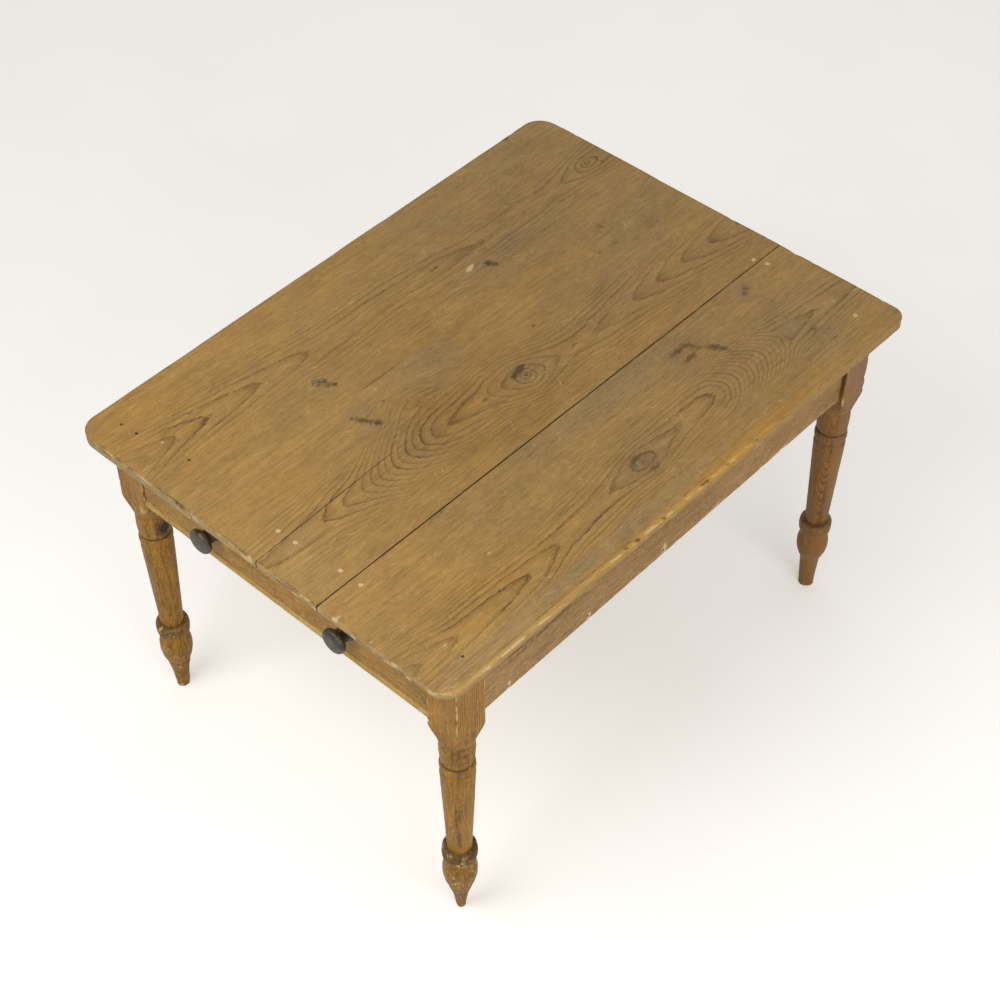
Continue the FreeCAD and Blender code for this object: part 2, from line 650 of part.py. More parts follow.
def table_pieces():
    """Every piece that stands still, by name."""
    nails, fillings, holes = top_nails_and_fillings()
    side_nails, side_holes = runner_nails()
    down_nails = guide_nails()
    rail, rail_mortise = side_rail()
    rear, rear_mortise = back_rail()
    lower, lower_mortise = front_bottom_rail()
    upper, upper_tails = front_top_rail()
    mortises = both_sides([rail_mortise]) + [rear_mortise, lower_mortise] + upper_tails
    pieces = {"top_board_" + name: board for name, board in top_boards(holes).items()}
    for corner in FOOT_TIP_RADII:
        pieces["leg_" + corner] = cut_by(leg(corner, mortises), nails)
    pieces["back_rail"] = cut_by(rear, nails)
    pieces["front_top_rail"] = cut_by(upper, nails)
    pieces["front_bottom_rail"] = lower
    right = {
        "side_rail": cut_by(rail, side_nails + side_holes),
        "drawer_runner": cut_by(drawer_runner(), side_nails + down_nails),
        "drawer_guide": cut_by(drawer_guide(), down_nails),
        "kicker": kicker(),
        "drawer_stop": drawer_stop(),
    }
    for name, shape in right.items():
        pieces[name + "_left"] = cut_by(mirrored(shape), nails)
        pieces[name + "_right"] = cut_by(shape, nails)
    pieces["top_nails"] = Part.makeCompound(nails)
    pieces["nail_hole_fillings"] = Part.makeCompound(fillings)
    pieces["runner_nails"] = Part.makeCompound(both_sides(side_nails))
    pieces["guide_nails"] = Part.makeCompound(both_sides(down_nails))
    return pieces


def drawer_pieces():
    """Every piece that slides with the drawer, by name."""
    knobs = {"left": knob(-1), "right": knob(1)}
    nails = bottom_nails()
    front = drawer_front(list(knobs.values()))
    back = drawer_back(nails)
    side = drawer_side(front, back)
    pieces = {
        "drawer_front": front,
        "drawer_back": back,
        "drawer_side_left": mirrored(side),
        "drawer_side_right": side,
        "drawer_bottom_nails": Part.makeCompound(nails),
    }
    for name, board in drawer_bottom(nails).items():
        pieces["drawer_bottom_board_" + name] = board
    for name, shape in knobs.items():
        pieces["drawer_knob_" + name] = shape
    return pieces


os.makedirs("parts", exist_ok=True)
for node, shape in {**table_pieces(), **drawer_pieces()}.items():
    shape.exportStep("parts/" + node + ".step")
    print(node, len(shape.Solids), "solids", round(shape.Volume), "mm3", shape.isValid())
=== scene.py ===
import bpy
import bmesh
import math
import numpy as np
from mathutils import Matrix
from types import SimpleNamespace as Named


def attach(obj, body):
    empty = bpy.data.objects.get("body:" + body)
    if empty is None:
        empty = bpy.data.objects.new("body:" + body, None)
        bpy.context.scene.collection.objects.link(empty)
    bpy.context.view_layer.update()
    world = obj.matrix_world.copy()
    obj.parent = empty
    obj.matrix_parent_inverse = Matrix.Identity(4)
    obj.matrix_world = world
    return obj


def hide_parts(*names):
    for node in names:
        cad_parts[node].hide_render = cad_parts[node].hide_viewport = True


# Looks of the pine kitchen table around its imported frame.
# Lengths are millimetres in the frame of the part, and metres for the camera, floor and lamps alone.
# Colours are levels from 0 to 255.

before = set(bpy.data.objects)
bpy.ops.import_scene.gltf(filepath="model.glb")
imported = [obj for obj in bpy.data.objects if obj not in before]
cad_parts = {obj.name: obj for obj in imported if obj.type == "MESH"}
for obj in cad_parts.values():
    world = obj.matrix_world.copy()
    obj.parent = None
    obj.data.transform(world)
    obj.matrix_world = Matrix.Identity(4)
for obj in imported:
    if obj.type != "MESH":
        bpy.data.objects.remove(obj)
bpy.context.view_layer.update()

MM = 0.001
TINY = 1e-9
X, Y, Z = range(3)

# Main places of the frame
HALF_LENGTH = 612.5
HALF_FRONT = 444.5
HALF_BACK = 455.0
HEIGHT = 735.0
UNDERSIDE = 713.0
CORNER_RADII = {(-1, -1): 40.0, (1, -1): 40.0, (-1, 1): 45.0, (1, 1): 30.0}
LEG_X = 382.5
LEG_Y = 530.0
LEG_HALF = 34.0
TIGHT_JOINT_X = -145.5
OPEN_JOINT_FRONT_X = 155.5
OPEN_JOINT_BACK_X = 160.0
OPEN_JOINT = 1.5
SPLIT_MOUTH_X = 14.5
SPLIT_TIP_X = 3.0
SPLIT_TIP_Y = -280.5
SPLIT_WIDTH = 1.2
KNOT_GROUP_Y = -175.0
RAIL_LOW = 565.0
RAIL_INNER_X = 384.5
RAIL_OUTER_X = 406.5
RAIL_END_Y = 496.0
CROSS_RAIL_END_X = 348.5
BACK_RAIL_YS = (538.0, 560.0)
BOTTOM_RAIL_FACE_Y = -562.5
BOTTOM_RAIL_HIGH = 580.0
DRAWER_FACE_Y = -561.5
DRAWER_FRONT_BACK_Y = -539.5
DRAWER_FRONT_END_X = 346.7
DRAWER_FRONT_ZS = (580.4, 690.9)
KNOB_X = 163.0
KNOB_Z = 631.3


# Fields over points


def lattice(i, j, k, seed):
    """A fixed number from 0 to 1 for each point of a lattice."""
    h = (i * 374761393 + j * 668265263 + k * 1442695041 + seed * 974711) & 0xFFFFFFFF
    h = ((h ^ (h >> 13)) * 1274126177) & 0xFFFFFFFF
    return ((h ^ (h >> 16)) & 0xFFFF) / 65535.0


def noise(points, cell, seed):
    """Smooth noise from -1 to 1 that changes about once in a cell."""
    place = points / np.asarray(cell, float)
    base = np.floor(place).astype(np.int64)
    f = place - base
    f = f * f * (3 - 2 * f)
    total = np.zeros(len(points))
    for corner in range(8):
        step = np.array([corner & 1, corner >> 1 & 1, corner >> 2 & 1])
        total += np.where(step, f, 1 - f).prod(1) * lattice(*(base + step).T, seed)
    return 2 * total - 1


def noise_field(points, seed):
    """Noise over the points of one piece, by a step of its seed and the size of a cell along x, y and z."""
    return lambda step, *cell: noise(points, cell, seed + step)


def smooth(low, high, value):
    """0 below low, 1 above high, with soft ends."""
    t = np.clip((value - low) / (high - low), 0, 1)
    return t * t * (3 - 2 * t)


def window(low, full, ebb, high, value):
    """1 from full to ebb, 0 below low and above high, with soft ends."""
    return smooth(low, full, value) * (1 - smooth(ebb, high, value))


def bell(value, middle, width):
    """1 at the middle, falling softly to both sides."""
    return np.exp(-((value - middle) / width) ** 2)


def limit(value, top=1.0):
    """A value kept from 0 to a top."""
    return np.clip(value, 0, top)


def softened(values, weights):
    """Values evened out by a row of weights."""
    padded = np.pad(values, len(weights) // 2, mode="edge")
    return np.convolve(padded, weights / weights.sum(), mode="valid")


def curve(table, y):
    """A smooth curve through (y, value) pairs, listed from the back end to the front."""
    ys, values = np.array(table[::-1], float).T
    fine = np.linspace(ys[0], ys[-1], 600)
    return np.interp(y, fine, softened(np.interp(fine, ys, values), np.hanning(13)))


def spots(x, y, table):
    """The sum of soft ellipses: x, y, half width, half length, amount and, where they are turned, degrees."""
    total = np.zeros(len(x))
    for cx, cy, rx, ry, amount, *turn in table:
        angle = math.radians(turn[0]) if turn else 0.0
        c, s = math.cos(angle), math.sin(angle)
        dx, dy = x - cx, y - cy
        total += amount * bell(c * dx + s * dy, 0, rx) * bell(c * dy - s * dx, 0, ry)
    return total


def rounding(radius, gap):
    """How far a rounded edge draws back at a distance from the face beside it."""
    near = np.maximum(radius - np.maximum(gap, 0), 0)
    return radius - np.sqrt(np.maximum(radius ** 2 - near ** 2, 0))


# Meshes

SHARP_ANGLE = math.radians(50)
FIELD_KINDS = {"ring": ("FLOAT", "value"), "flow": ("FLOAT_VECTOR", "vector"),
               "marks": ("FLOAT_COLOR", "color"), "tint": ("FLOAT", "value")}


def show(name, data, pose=Matrix()):
    """Adds an object to the scene."""
    thing = bpy.data.objects.new(name, data)
    thing.matrix_world = pose
    bpy.context.scene.collection.objects.link(thing)
    return thing


def piece(name, node, body, slot, material, points, faces, **fields):
    """A new mesh with its grain fields, riding on a body and standing for a node."""
    mesh = bpy.data.meshes.new(name)
    mesh.from_pydata((points * MM).tolist(), [], [list(map(int, f)) for f in faces])
    for key, values in fields.items():
        kind, member = FIELD_KINDS[key]
        layer = mesh.attributes.new(key, kind, "POINT")
        layer.data.foreach_set(member, np.asarray(values, np.float32).ravel())
    work = bmesh.new()
    work.from_mesh(mesh)
    bmesh.ops.recalc_face_normals(work, faces=work.faces)
    work.to_mesh(mesh)
    work.free()
    mesh.shade_smooth()
    mesh.set_sharp_from_angle(angle=SHARP_ANGLE)
    mesh.materials.append(material)
    thing = show(name, mesh)
    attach(thing, body)
    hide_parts(node)


def tube(rows, columns):
    """The quads of a closed tube of points, row by row, and a face on each end."""
    ids = np.arange(rows * columns).reshape(rows, columns)
    ahead = np.roll(ids, -1, 1)
    faces = np.stack([ids[:-1], ahead[:-1], ahead[1:], ids[1:]], -1).reshape(-1, 4).tolist()
    return faces + [ids[0][::-1].tolist(), ids[-1].tolist()]


# Materials


def srgb(*levels):
    """A colour of levels from 0 to 255, as linear light."""
    shares = [level / 255 for level in levels]
    return tuple(c / 12.92 if c <= 0.04045 else ((c + 0.055) / 1.055) ** 2.4 for c in shares) + (1.0,)


class Nodes:
    """Short ways to add shader nodes to a material or a world."""

    def __init__(self, owner):
        owner.use_nodes = True
        self.owner = owner
        self.tree = owner.node_tree

    def put(self, socket, value):
        if isinstance(value, bpy.types.NodeSocket):
            self.tree.links.new(value, socket)
        else:
            socket.default_value = value

    def put_all(self, node, values):
        for key, value in dict(values).items():
            self.put(node.inputs[key], value)

    def add(self, kind, values=(), **settings):
        node = self.tree.nodes.new("ShaderNode" + kind)
        for key, value in settings.items():
            setattr(node, key, value)
        self.put_all(node, values)
        return node

    def math(self, operation, *values, clamp=False):
        return self.add("Math", enumerate(values), operation=operation, use_clamp=clamp).outputs[0]

    def vector(self, operation, first, second):
        return self.add("VectorMath", {0: first, 1: second}, operation=operation).outputs[0]

    def joined(self, *parts):
        return self.add("CombineXYZ", enumerate(parts)).outputs[0]

    def times(self, first, second, clamp=False):
        return self.math("MULTIPLY", first, second, clamp=clamp)

    def plus(self, first, second, clamp=False):
        return self.math("ADD", first, second, clamp=clamp)

    def about(self, value, weight):
        """A value from 0 to 1, taken about its middle and weighted."""
        return self.times(self.math("SUBTRACT", value, 0.5), weight)

    def total(self, *terms):
        """The sum of values taken about their middle, each with its weight."""
        result = 0.0
        for value, weight in terms:
            result = self.plus(result, self.about(value, weight))
        return result

    def place(self):
        return self.add("TexCoord").outputs["Object"]

    def field(self, name):
        return self.add("Attribute", attribute_name=name).outputs

    def noise(self, vector, cell, detail=2.0, rough=0.5):
        """Noise from 0 to 1, with the size of one cell along each axis."""
        place = self.vector("MULTIPLY", vector, tuple(1 / (size * MM) for size in cell))
        node = self.add("TexNoise", {"Vector": place, "Scale": 1.0, "Detail": detail, "Roughness": rough})
        return node.outputs["Fac"]

    def mix(self, share, first, second, blend="MIX"):
        node = self.add("Mix", {0: share, 6: first, 7: second}, data_type="RGBA", blend_type=blend)
        return node.outputs[2]

    def between(self, value, low, high):
        """0 at low and 1 at high, softly."""
        values = {"Value": value, "From Min": low, "From Max": high}
        return self.add("MapRange", values, interpolation_type="SMOOTHSTEP").outputs["Result"]

    def ramp(self, value, stops):
        node = self.add("ValToRGB", {"Fac": value})
        band = node.color_ramp
        while len(band.elements) < len(stops):
            band.elements.new(0.5)
        for element, (place, level) in zip(band.elements, stops):
            element.position = place
            element.color = (level, level, level, 1.0)
        return node.outputs["Color"]

    def scratches(self, vector, turn, length, width):
        """Long thin lines in one direction, broken into short lengths."""
        values = {"Vector": vector, "Angle": math.radians(turn)}
        turned = self.add("VectorRotate", values, rotation_type="Z_AXIS").outputs[0]
        field = self.noise(turned, (width, length, width), 1.0)
        line = self.between(self.math("ABSOLUTE", self.math("SUBTRACT", field, 0.5)), 0.011, 0.003)
        return self.times(line, self.between(self.noise(turned, (30, 50, 30)), 0.56, 0.68))

    def surface(self, colour, rough, height, strength, distance, **plain):
        """Colour, roughness and relief of the shader, and the values that are the same all over."""
        bump = self.add("Bump", {"Strength": strength, "Distance": distance * MM, "Height": height})
        shader = self.tree.nodes["Principled BSDF"]
        self.put_all(shader, {"Base Color": colour, "Roughness": rough, "Normal": bump.outputs[0]})
        self.put_all(shader, {key.replace("_", " "): value for key, value in plain.items()})
        return self.owner


# One year of a ring: places and levels from its early wood to its late wood
RING_BAND = [(0.0, 0.25), (0.06, 0.0), (0.5, 0.06), (0.78, 0.4), (0.91, 1.0), (0.97, 0.9), (1.0, 0.25)]
# How strongly the red, green and blue of the wood follow its light and dark fibres
FIBRE_SHARES = (0.9, 1.0, 1.2)
PLAIN_RING = 5.0
# Colours of dark marks, which are real dirt and stains and also painted shade
GRIME_AND_SHADE = srgb(66, 50, 28)
NEAR_BLACK = srgb(30, 25, 20)


def pine(name, axis, cool, warm, late, end, pale=(205, 180, 132), rough=0.5, line=0.8, mottle=1.0,
         flecked=0.2, scratched=0.0, pith=None):
    """Old waxed pine. Its rings come from mesh fields or, for a plain node, lie round a pith line."""
    n = Nodes(bpy.data.materials.new(name))
    if pith is None:
        ring = n.field("ring")["Fac"]
        flow = n.field("flow")["Vector"]
        tint = n.field("tint")["Fac"]
        marks = n.field("marks")
        dark, light, tone = n.add("SeparateColor", {"Color": marks["Color"]}).outputs
        strength = marks["Alpha"]
    else:
        place = n.vector("SUBTRACT", n.place(), tuple(part * MM for part in pith))
        parts = n.add("SeparateXYZ", {"Vector": place}).outputs
        a, b = [parts[i] for i in range(3) if i != axis]
        flow = n.joined(a, parts[axis], b)
        reach = n.add("VectorMath", {0: n.joined(a, b, 0.0)}, operation="LENGTH").outputs["Value"]
        sway = n.noise(flow, (120, 500, 120))
        ring = n.plus(n.math("DIVIDE", reach, PLAIN_RING * MM), n.times(sway, 5.0))
        dark, light, tone, strength, tint = 0.0, 0.0, 0.5, 0.6, 0.5
    bend = n.about(n.noise(flow, (50, 160, 50), 3.0), 20 * MM)
    flow = n.vector("ADD", flow, n.joined(bend, 0.0, bend))
    fibre = n.noise(flow, (1.8, 75, 1.8), 3.0, 0.65)
    streak = n.noise(flow, (6, 300, 6))
    blotch = n.noise(flow, (9, 15, 9), 3.0, 0.65)
    cloud = n.noise(flow, (45, 80, 45))
    ragged = n.noise(flow, (3, 14, 3))
    grain = n.noise(flow, (5, 9, 5), 4.0, 0.7)
    fleck = n.noise(flow, (2.6, 7, 2.6), 3.0, 0.6)

    # Rings
    wavy = n.plus(ring, n.about(ragged, 0.4))
    year = n.add("TexWhiteNoise", {"W": n.math("FLOOR", wavy)}, noise_dimensions="1D").outputs["Value"]
    band = n.ramp(n.math("FRACT", wavy), RING_BAND)
    bold = n.times(n.times(band, strength), n.plus(n.times(year, 0.55), 0.5))
    bold = n.times(bold, n.plus(n.about(blotch, 2.2), 1.0), clamp=True)
    hue = n.plus(tint, n.total((cloud, 0.4), (blotch, 0.2)), clamp=True)
    colour = n.mix(n.times(bold, line), n.mix(hue, srgb(*cool), srgb(*warm)), srgb(*late))

    # Light and dark fibres, then end grain
    level = n.times(n.total((fibre, 1.15), (streak, 0.4), (blotch, 0.45), (cloud, 0.3)), mottle)
    # The tone also carries the painted highlight of the golden band on the top's right arris.
    level = n.plus(level, n.about(tone, 0.8))
    shades = [n.math("MULTIPLY_ADD", level, share, 1.0) for share in FIBRE_SHARES]
    shade = n.add("CombineColor", enumerate(shades)).outputs[0]
    colour = n.mix(1.0, colour, shade, "MULTIPLY")
    normal = n.add("SeparateXYZ", {"Vector": n.add("NewGeometry").outputs["Normal"]}).outputs
    butt = n.between(n.math("ABSOLUTE", normal[axis]), 0.55, 0.9)
    late_end = srgb(*[c * 0.62 for c in end])
    worn = n.mix(n.times(n.times(band, year), 0.5), n.mix(1.0, srgb(*end), shade, "MULTIPLY"), late_end)
    colour = n.mix(n.times(butt, 0.85), colour, worn)

    # Stains with painted shade, scuffs with painted highlights, scratches and flecks
    patch = n.plus(n.about(grain, 1.1), n.about(fibre, 0.9))
    # Dark marks: real stains, and also painted shade along the top's arris, in the leg dents and in the back
    # right leg's recess.
    stain_and_shade = n.times(n.between(n.plus(dark, patch), 0.16, 0.85), 0.82)
    colour = n.mix(stain_and_shade, colour, GRIME_AND_SHADE)
    deepest_dark = n.between(n.plus(dark, n.times(patch, 0.6)), 1.0, 1.35)
    colour = n.mix(n.times(deepest_dark, 0.85), colour, NEAR_BLACK)
    # Light marks: real scuffs, and also painted highlights on the top's arris and rubbed corner and on the
    # ridges of the leg dents.
    scuff_and_highlight = n.between(n.plus(light, n.times(patch, 0.9)), 0.3, 0.62)
    if scratched:
        lines = n.math("MAXIMUM", n.scratches(flow, 24, 160, 7), n.scratches(flow, -61, 110, 6))
        scuff_and_highlight = n.math("MAXIMUM", scuff_and_highlight, n.times(lines, scratched))
    colour = n.mix(n.times(scuff_and_highlight, 0.8), colour, srgb(*pale))
    speck = n.between(n.noise(flow, (4, 9, 4), 1.0), 0.73, 0.79)
    soiled = n.math("MAXIMUM", n.times(speck, 0.4), n.times(n.between(fleck, 0.46, 0.3), flecked))
    colour = n.mix(soiled, colour, GRIME_AND_SHADE)
    colour = n.mix(n.times(n.between(fleck, 0.56, 0.72), flecked * 0.8), colour, srgb(*pale))

    # Gloss and relief
    shine = n.plus(n.times(n.noise(flow, (30, 120, 30), 4.0), 0.3), rough - 0.15)
    shine = n.plus(shine, n.times(stain_and_shade, 0.15), clamp=True)
    height = n.plus(n.plus(n.times(bold, -0.6), n.times(fibre, 0.6)), n.about(grain, 0.6))
    return n.surface(colour, shine, height, strength=0.55, distance=0.8, Specular_IOR_Level=0.24)


def dark_knob():
    """Blackened turned wood with a rubbed rim, and grey clouds in its colour that are partly worn blackening
    and partly a painted sheen.
    """
    n = Nodes(bpy.data.materials.new("knob_dark"))
    place = n.place()
    light = n.add("SeparateColor", {"Color": n.field("marks")["Color"]}).outputs[1]
    grain = n.noise(place, (12, 4, 2.5), 4.0, 0.65)
    cloud = n.noise(place, (12, 12, 12), 4.0, 0.6)
    # Painted sheen: the grey clouds stand partly for the knob's sheen, partly for worn blackening.
    colour = n.mix(n.between(cloud, 0.35, 0.68), srgb(40, 37, 31), srgb(88, 81, 67))
    colour = n.mix(n.between(grain, 0.5, 0.72), colour, srgb(26, 23, 18))
    rub = n.between(n.plus(light, n.about(cloud, 0.9)), 0.4, 0.75)
    colour = n.mix(n.times(rub, 0.7), colour, srgb(104, 66, 44))
    height = n.plus(n.times(grain, 0.6), n.times(cloud, 0.4))
    shine = n.plus(n.times(cloud, 0.3), 0.24)
    return n.surface(colour, shine, height, strength=0.4, distance=0.6)


def gritty(name, first, second, grit, low, high, rough, rise, strength, distance, **plain):
    """A rough stuff of two colours, mixed in fine grit."""
    n = Nodes(bpy.data.materials.new(name))
    field = n.noise(n.place(), (grit, grit, grit), 4.0, 0.7)
    colour = n.mix(n.between(field, low, high), srgb(*first), srgb(*second))
    return n.surface(colour, n.plus(n.times(field, rise), rough), field, strength, distance, **plain)


TOP_PINE = pine("top_pine", Y, (148, 122, 81), (174, 131, 60), (88, 62, 31), (164, 140, 90), line=0.95,
                scratched=0.5, flecked=0.12)
LEG_PINE = pine("leg_pine", Z, (131, 96, 39), (165, 115, 32), (70, 44, 16), (150, 116, 62), (210, 178, 118),
                rough=0.45, line=0.9, mottle=2.0, flecked=0.4)
BACK_LEG_PINE = pine("back_leg_pine", Z, (132, 96, 52), (152, 106, 50), (72, 44, 22), (140, 106, 60),
                     (196, 164, 116), rough=0.36, flecked=0.15)
RAIL_PINE_Y = pine("rail_pine_long", Y, (152, 120, 74), (166, 124, 66), (90, 62, 34), (130, 104, 64),
                   (218, 194, 152), mottle=1.6, flecked=0.45)
BACK_RAIL_PINE = pine("back_rail_pine", X, (152, 119, 70), (166, 123, 62), (92, 63, 34), (130, 104, 64),
                      mottle=1.6, flecked=0.45)
RAIL_PINE_X = pine("rail_pine_cross", X, (176, 142, 76), (194, 148, 66), (116, 80, 34), (150, 118, 66),
                   mottle=1.6, flecked=0.45)
FRONT_PINE = pine("drawer_front_pine", X, (150, 114, 50), (172, 124, 44), (104, 70, 28), (146, 110, 56),
                  mottle=1.6, flecked=0.55)
LINING = ((200, 176, 130), (208, 176, 120), (160, 122, 76), (176, 144, 98))
LINING_X = pine("lining_cross", X, *LINING, rough=0.65, pith=(0, -120, 520))
LINING_Y = pine("lining_long", Y, *LINING, rough=0.65, pith=(100, 0, 500))
STRIP_Y = pine("strip_long", Y, (188, 162, 114), (198, 162, 106), (146, 108, 64), (168, 134, 88), rough=0.65,
               pith=(50, 0, 450))
STRIP_X = pine("strip_cross", X, (172, 142, 90), (186, 144, 80), (130, 94, 52), (160, 126, 80), rough=0.6,
               pith=(0, -300, 620))
KNOB = dark_knob()
IRON = gritty("nail_iron", (52, 40, 27), (90, 62, 36), grit=2.0, low=0.45, high=0.65, rough=0.45, rise=0.3,
              strength=0.5, distance=0.3, Metallic=0.3)
FILLER = gritty("filler", (188, 160, 112), (214, 190, 140), grit=1.5, low=0.3, high=0.7, rough=0.6, rise=0.2,
                strength=0.4, distance=0.4)


# Grain of legs and planks


def log_rings(points, axis, pith, spacing, seed, sway=10.0):
    """Rings round a slightly crooked pith line along an axis, and fibre places."""
    a, b = [i for i in range(3) if i != axis]
    length = points[:, axis]
    path = np.zeros_like(points)
    path[:, 1] = length
    pa = pith[0] + sway * noise(path, (1, 260, 1), seed)
    pb = pith[1] + sway * noise(path, (1, 260, 1), seed + 1)
    side_a, side_b = points[:, a] - pa, points[:, b] - pb
    ring = np.hypot(side_a, side_b) / spacing + 0.35 * noise(points, (30, 30, 30), seed + 2)
    return ring, np.stack([side_a, length, side_b], 1) * MM


# Planks with worn edges

PLANK_PITCH = 5.0
PLANK_LONG_PITCH = 7.0


def ticks(low, high, edge, pitch):
    """Places along a plank, close together at both ends."""
    near = edge * np.array([0.0, 0.3, 0.65, 1.0])
    count = max(2, int(round((high - low - 4 * edge) / pitch)) + 1)
    middle = np.linspace(low + 2 * edge, high - 2 * edge, count)
    return np.concatenate([low + near, middle, (high - near)[::-1]])


def box_grid(xs, ys, zs):
    """The surface of a box as points and quads."""
    shape = (len(xs), len(ys), len(zs))
    on = np.zeros(shape, bool)
    on[[0, -1]] = True
    on[:, [0, -1]] = True
    on[:, :, [0, -1]] = True
    ids = np.full(shape, -1)
    ids[on] = np.arange(on.sum())
    points = np.stack(np.meshgrid(xs, ys, zs, indexing="ij"), -1)[on]
    quads = []
    for axis in range(3):
        for end in (0, -1):
            side = np.take(ids, end, axis)
            corners = [side[:-1, :-1], side[1:, :-1], side[1:, 1:], side[:-1, 1:]]
            quads.append(np.stack(corners, -1).reshape(-1, 4))
    return points, np.concatenate(quads)


def plank(low, high, edge, pitch, seed):
    """A box with rubbed and chipped edges, and how far each point lies from an edge."""
    low, high = np.array(low, float), np.array(high, float)
    points, quads = box_grid(*(ticks(a, b, edge, p) for a, b, p in zip(low, high, pitch)))
    near = np.sort(np.minimum(points - low, high - points), 1)[:, 1]
    field = noise_field(points, seed)
    radius = edge * (1 + 0.6 * field(0, 35, 35, 35) + 1.6 * smooth(0.45, 0.85, field(1, 14, 14, 14)))
    radius = np.minimum(radius, (high - low).min() * 0.45)[:, None]
    inner = np.clip(points, low + radius, high - radius)
    out = points - inner
    span = np.linalg.norm(out, axis=1, keepdims=True)
    return inner + out / np.maximum(span, TINY) * np.minimum(radius, span), quads, near


def plank_piece(name, node, body, slot, material, axis, low, high, pith, spacing, seed, edge=1.4, tone=0.5,
                strength=0.7, dark=(), light=(), tones=()):
    """A plank that stands for a node, with grain along an axis and spots placed by that axis and height."""
    pitch = np.full(3, PLANK_PITCH)
    pitch[axis] = PLANK_LONG_PITCH
    points, quads, near = plank(low, high, edge, pitch, seed)
    ring, flow = log_rings(points, axis, pith, spacing, seed)
    field = noise_field(points, seed)
    long = np.full(3, 40.0)
    long[axis] = 110.0
    a, b = points[:, axis], points[:, Z]
    rub = 0.45 * np.exp(-near / 2.2) * (0.55 + 0.8 * field(6, 18, 18, 18))
    marks = np.stack([
        0.04 + 0.14 * field(5, *long) + spots(a, b, dark),
        rub + spots(a, b, light),
        tone + 0.08 * field(7, 150, 150, 150) + spots(a, b, tones),
        strength * (0.75 + 0.4 * field(8, *long * 1.6))], 1)
    tint = 0.5 + 0.22 * field(9, *long * 1.3)
    piece(name, node, body, slot, material, points, quads, ring=ring, flow=flow, marks=marks, tint=tint)


# Shape of the top

OUTER_EDGE = [0, 0.5, 1.2, 2.1, 3.3, 5.0, 7.0, 9.0, 10.2, 11.2, 12.4, 14.0, 16.5, 20.0, 26.0, 33.0, 41.0]
JOINT_EDGE = [0, 0.4, 1.0, 2.2, 4.5]
END_EDGE = np.array([0, 0.6, 1.3, 2.2, 3.4, 6.0])
END_BAND = 11.0
ROW_PITCH = 4.0
COLUMN_PITCH = 3.0
ROW_COUNT = int((2 * HALF_LENGTH - 2 * END_BAND) / ROW_PITCH)
ROWS = np.concatenate([
    -HALF_LENGTH + END_EDGE, np.linspace(-HALF_LENGTH + END_BAND, HALF_LENGTH - END_BAND, ROW_COUNT),
    (HALF_LENGTH - END_EDGE)[::-1]])
ARRIS = 2.6
CHIP = 3.0
RUBBED_ARRIS = 4.5
UNDER_BEVEL = 9.5
BEVEL_DRAW = 30.0
RELIEF_SEED = 40
RELIEF_TOP = 0.2
HOLE_RADIUS = 2.6
HOLE_DEPTH = 1.4
HOLE_SIDES = 16
PACKING_GAP = 0.05
FAR_FROM_SPLIT = 9.0
# Rings down the wall of a board: share of its height and inset
WALL = ((0.2, 0.0), (0.45, 0.15), (0.7, 0.1), (0.93, 0.0), (1.0, 0.9))


def along(y, front, back):
    """A value that changes evenly from the front end of the top to the back."""
    return front + (back - front) * (y + HALF_LENGTH) / (2 * HALF_LENGTH)


def side_x(y, side):
    """The long edge of the top, which spreads a little to the back."""
    return side * along(y, HALF_FRONT, HALF_BACK)


def tight_x(y):
    return TIGHT_JOINT_X + 0.0 * y


def open_joint_x(y):
    return along(y, OPEN_JOINT_FRONT_X, OPEN_JOINT_BACK_X)


def split_x(y):
    return SPLIT_MOUTH_X + (SPLIT_TIP_X - SPLIT_MOUTH_X) * (y + HALF_LENGTH) / (SPLIT_TIP_Y + HALF_LENGTH)


def split_half(y):
    return SPLIT_WIDTH / 2 * limit((SPLIT_TIP_Y - y) / (SPLIT_TIP_Y + HALF_LENGTH))


def tight_joint(x, y):
    """Distance from the tight joint, and the radius of its arris."""
    return np.abs(x - TIGHT_JOINT_X), 0.12 + 0.22 * np.exp(-((y - KNOT_GROUP_Y) / 70) ** 4)


def left_joints(x, y):
    return [tight_joint(x, y)]


def middle_joints(x, y):
    from_split = np.maximum(np.abs(x - split_x(y)) - split_half(y), 0)
    from_split = np.where(y < SPLIT_TIP_Y, from_split, FAR_FROM_SPLIT)
    return [tight_joint(x, y), (np.abs(open_joint_x(y) - x), 1.0), (from_split, 0.6)]


def right_joints(x, y):
    return [(np.abs(x - open_joint_x(y) - OPEN_JOINT), 1.2)]


def outer_distance(x, y):
    """How far a point lies inside the rounded outline of the whole top."""
    left, right = x - side_x(y, -1), side_x(y, 1) - x
    front, back = y + HALF_LENGTH, HALF_LENGTH - y
    distance = np.minimum(np.minimum(left, right), np.minimum(front, back))
    for (sx, sy), radius in CORNER_RADII.items():
        a, b = (left, right)[sx > 0], (front, back)[sy > 0]
        inside = (a < radius) & (b < radius)
        distance = np.where(inside, radius - np.hypot(radius - a, radius - b), distance)
    return distance


def columns(width, near_left, near_right):
    """Places across a board, as distances from its left edge."""
    left, right = np.array(near_left), width - np.array(near_right)[::-1]
    count = int((right[0] - left[-1]) / COLUMN_PITCH)
    middle = np.linspace(left[-1], right[0], count + 1)[1:-1]
    return np.concatenate([left, middle, right])


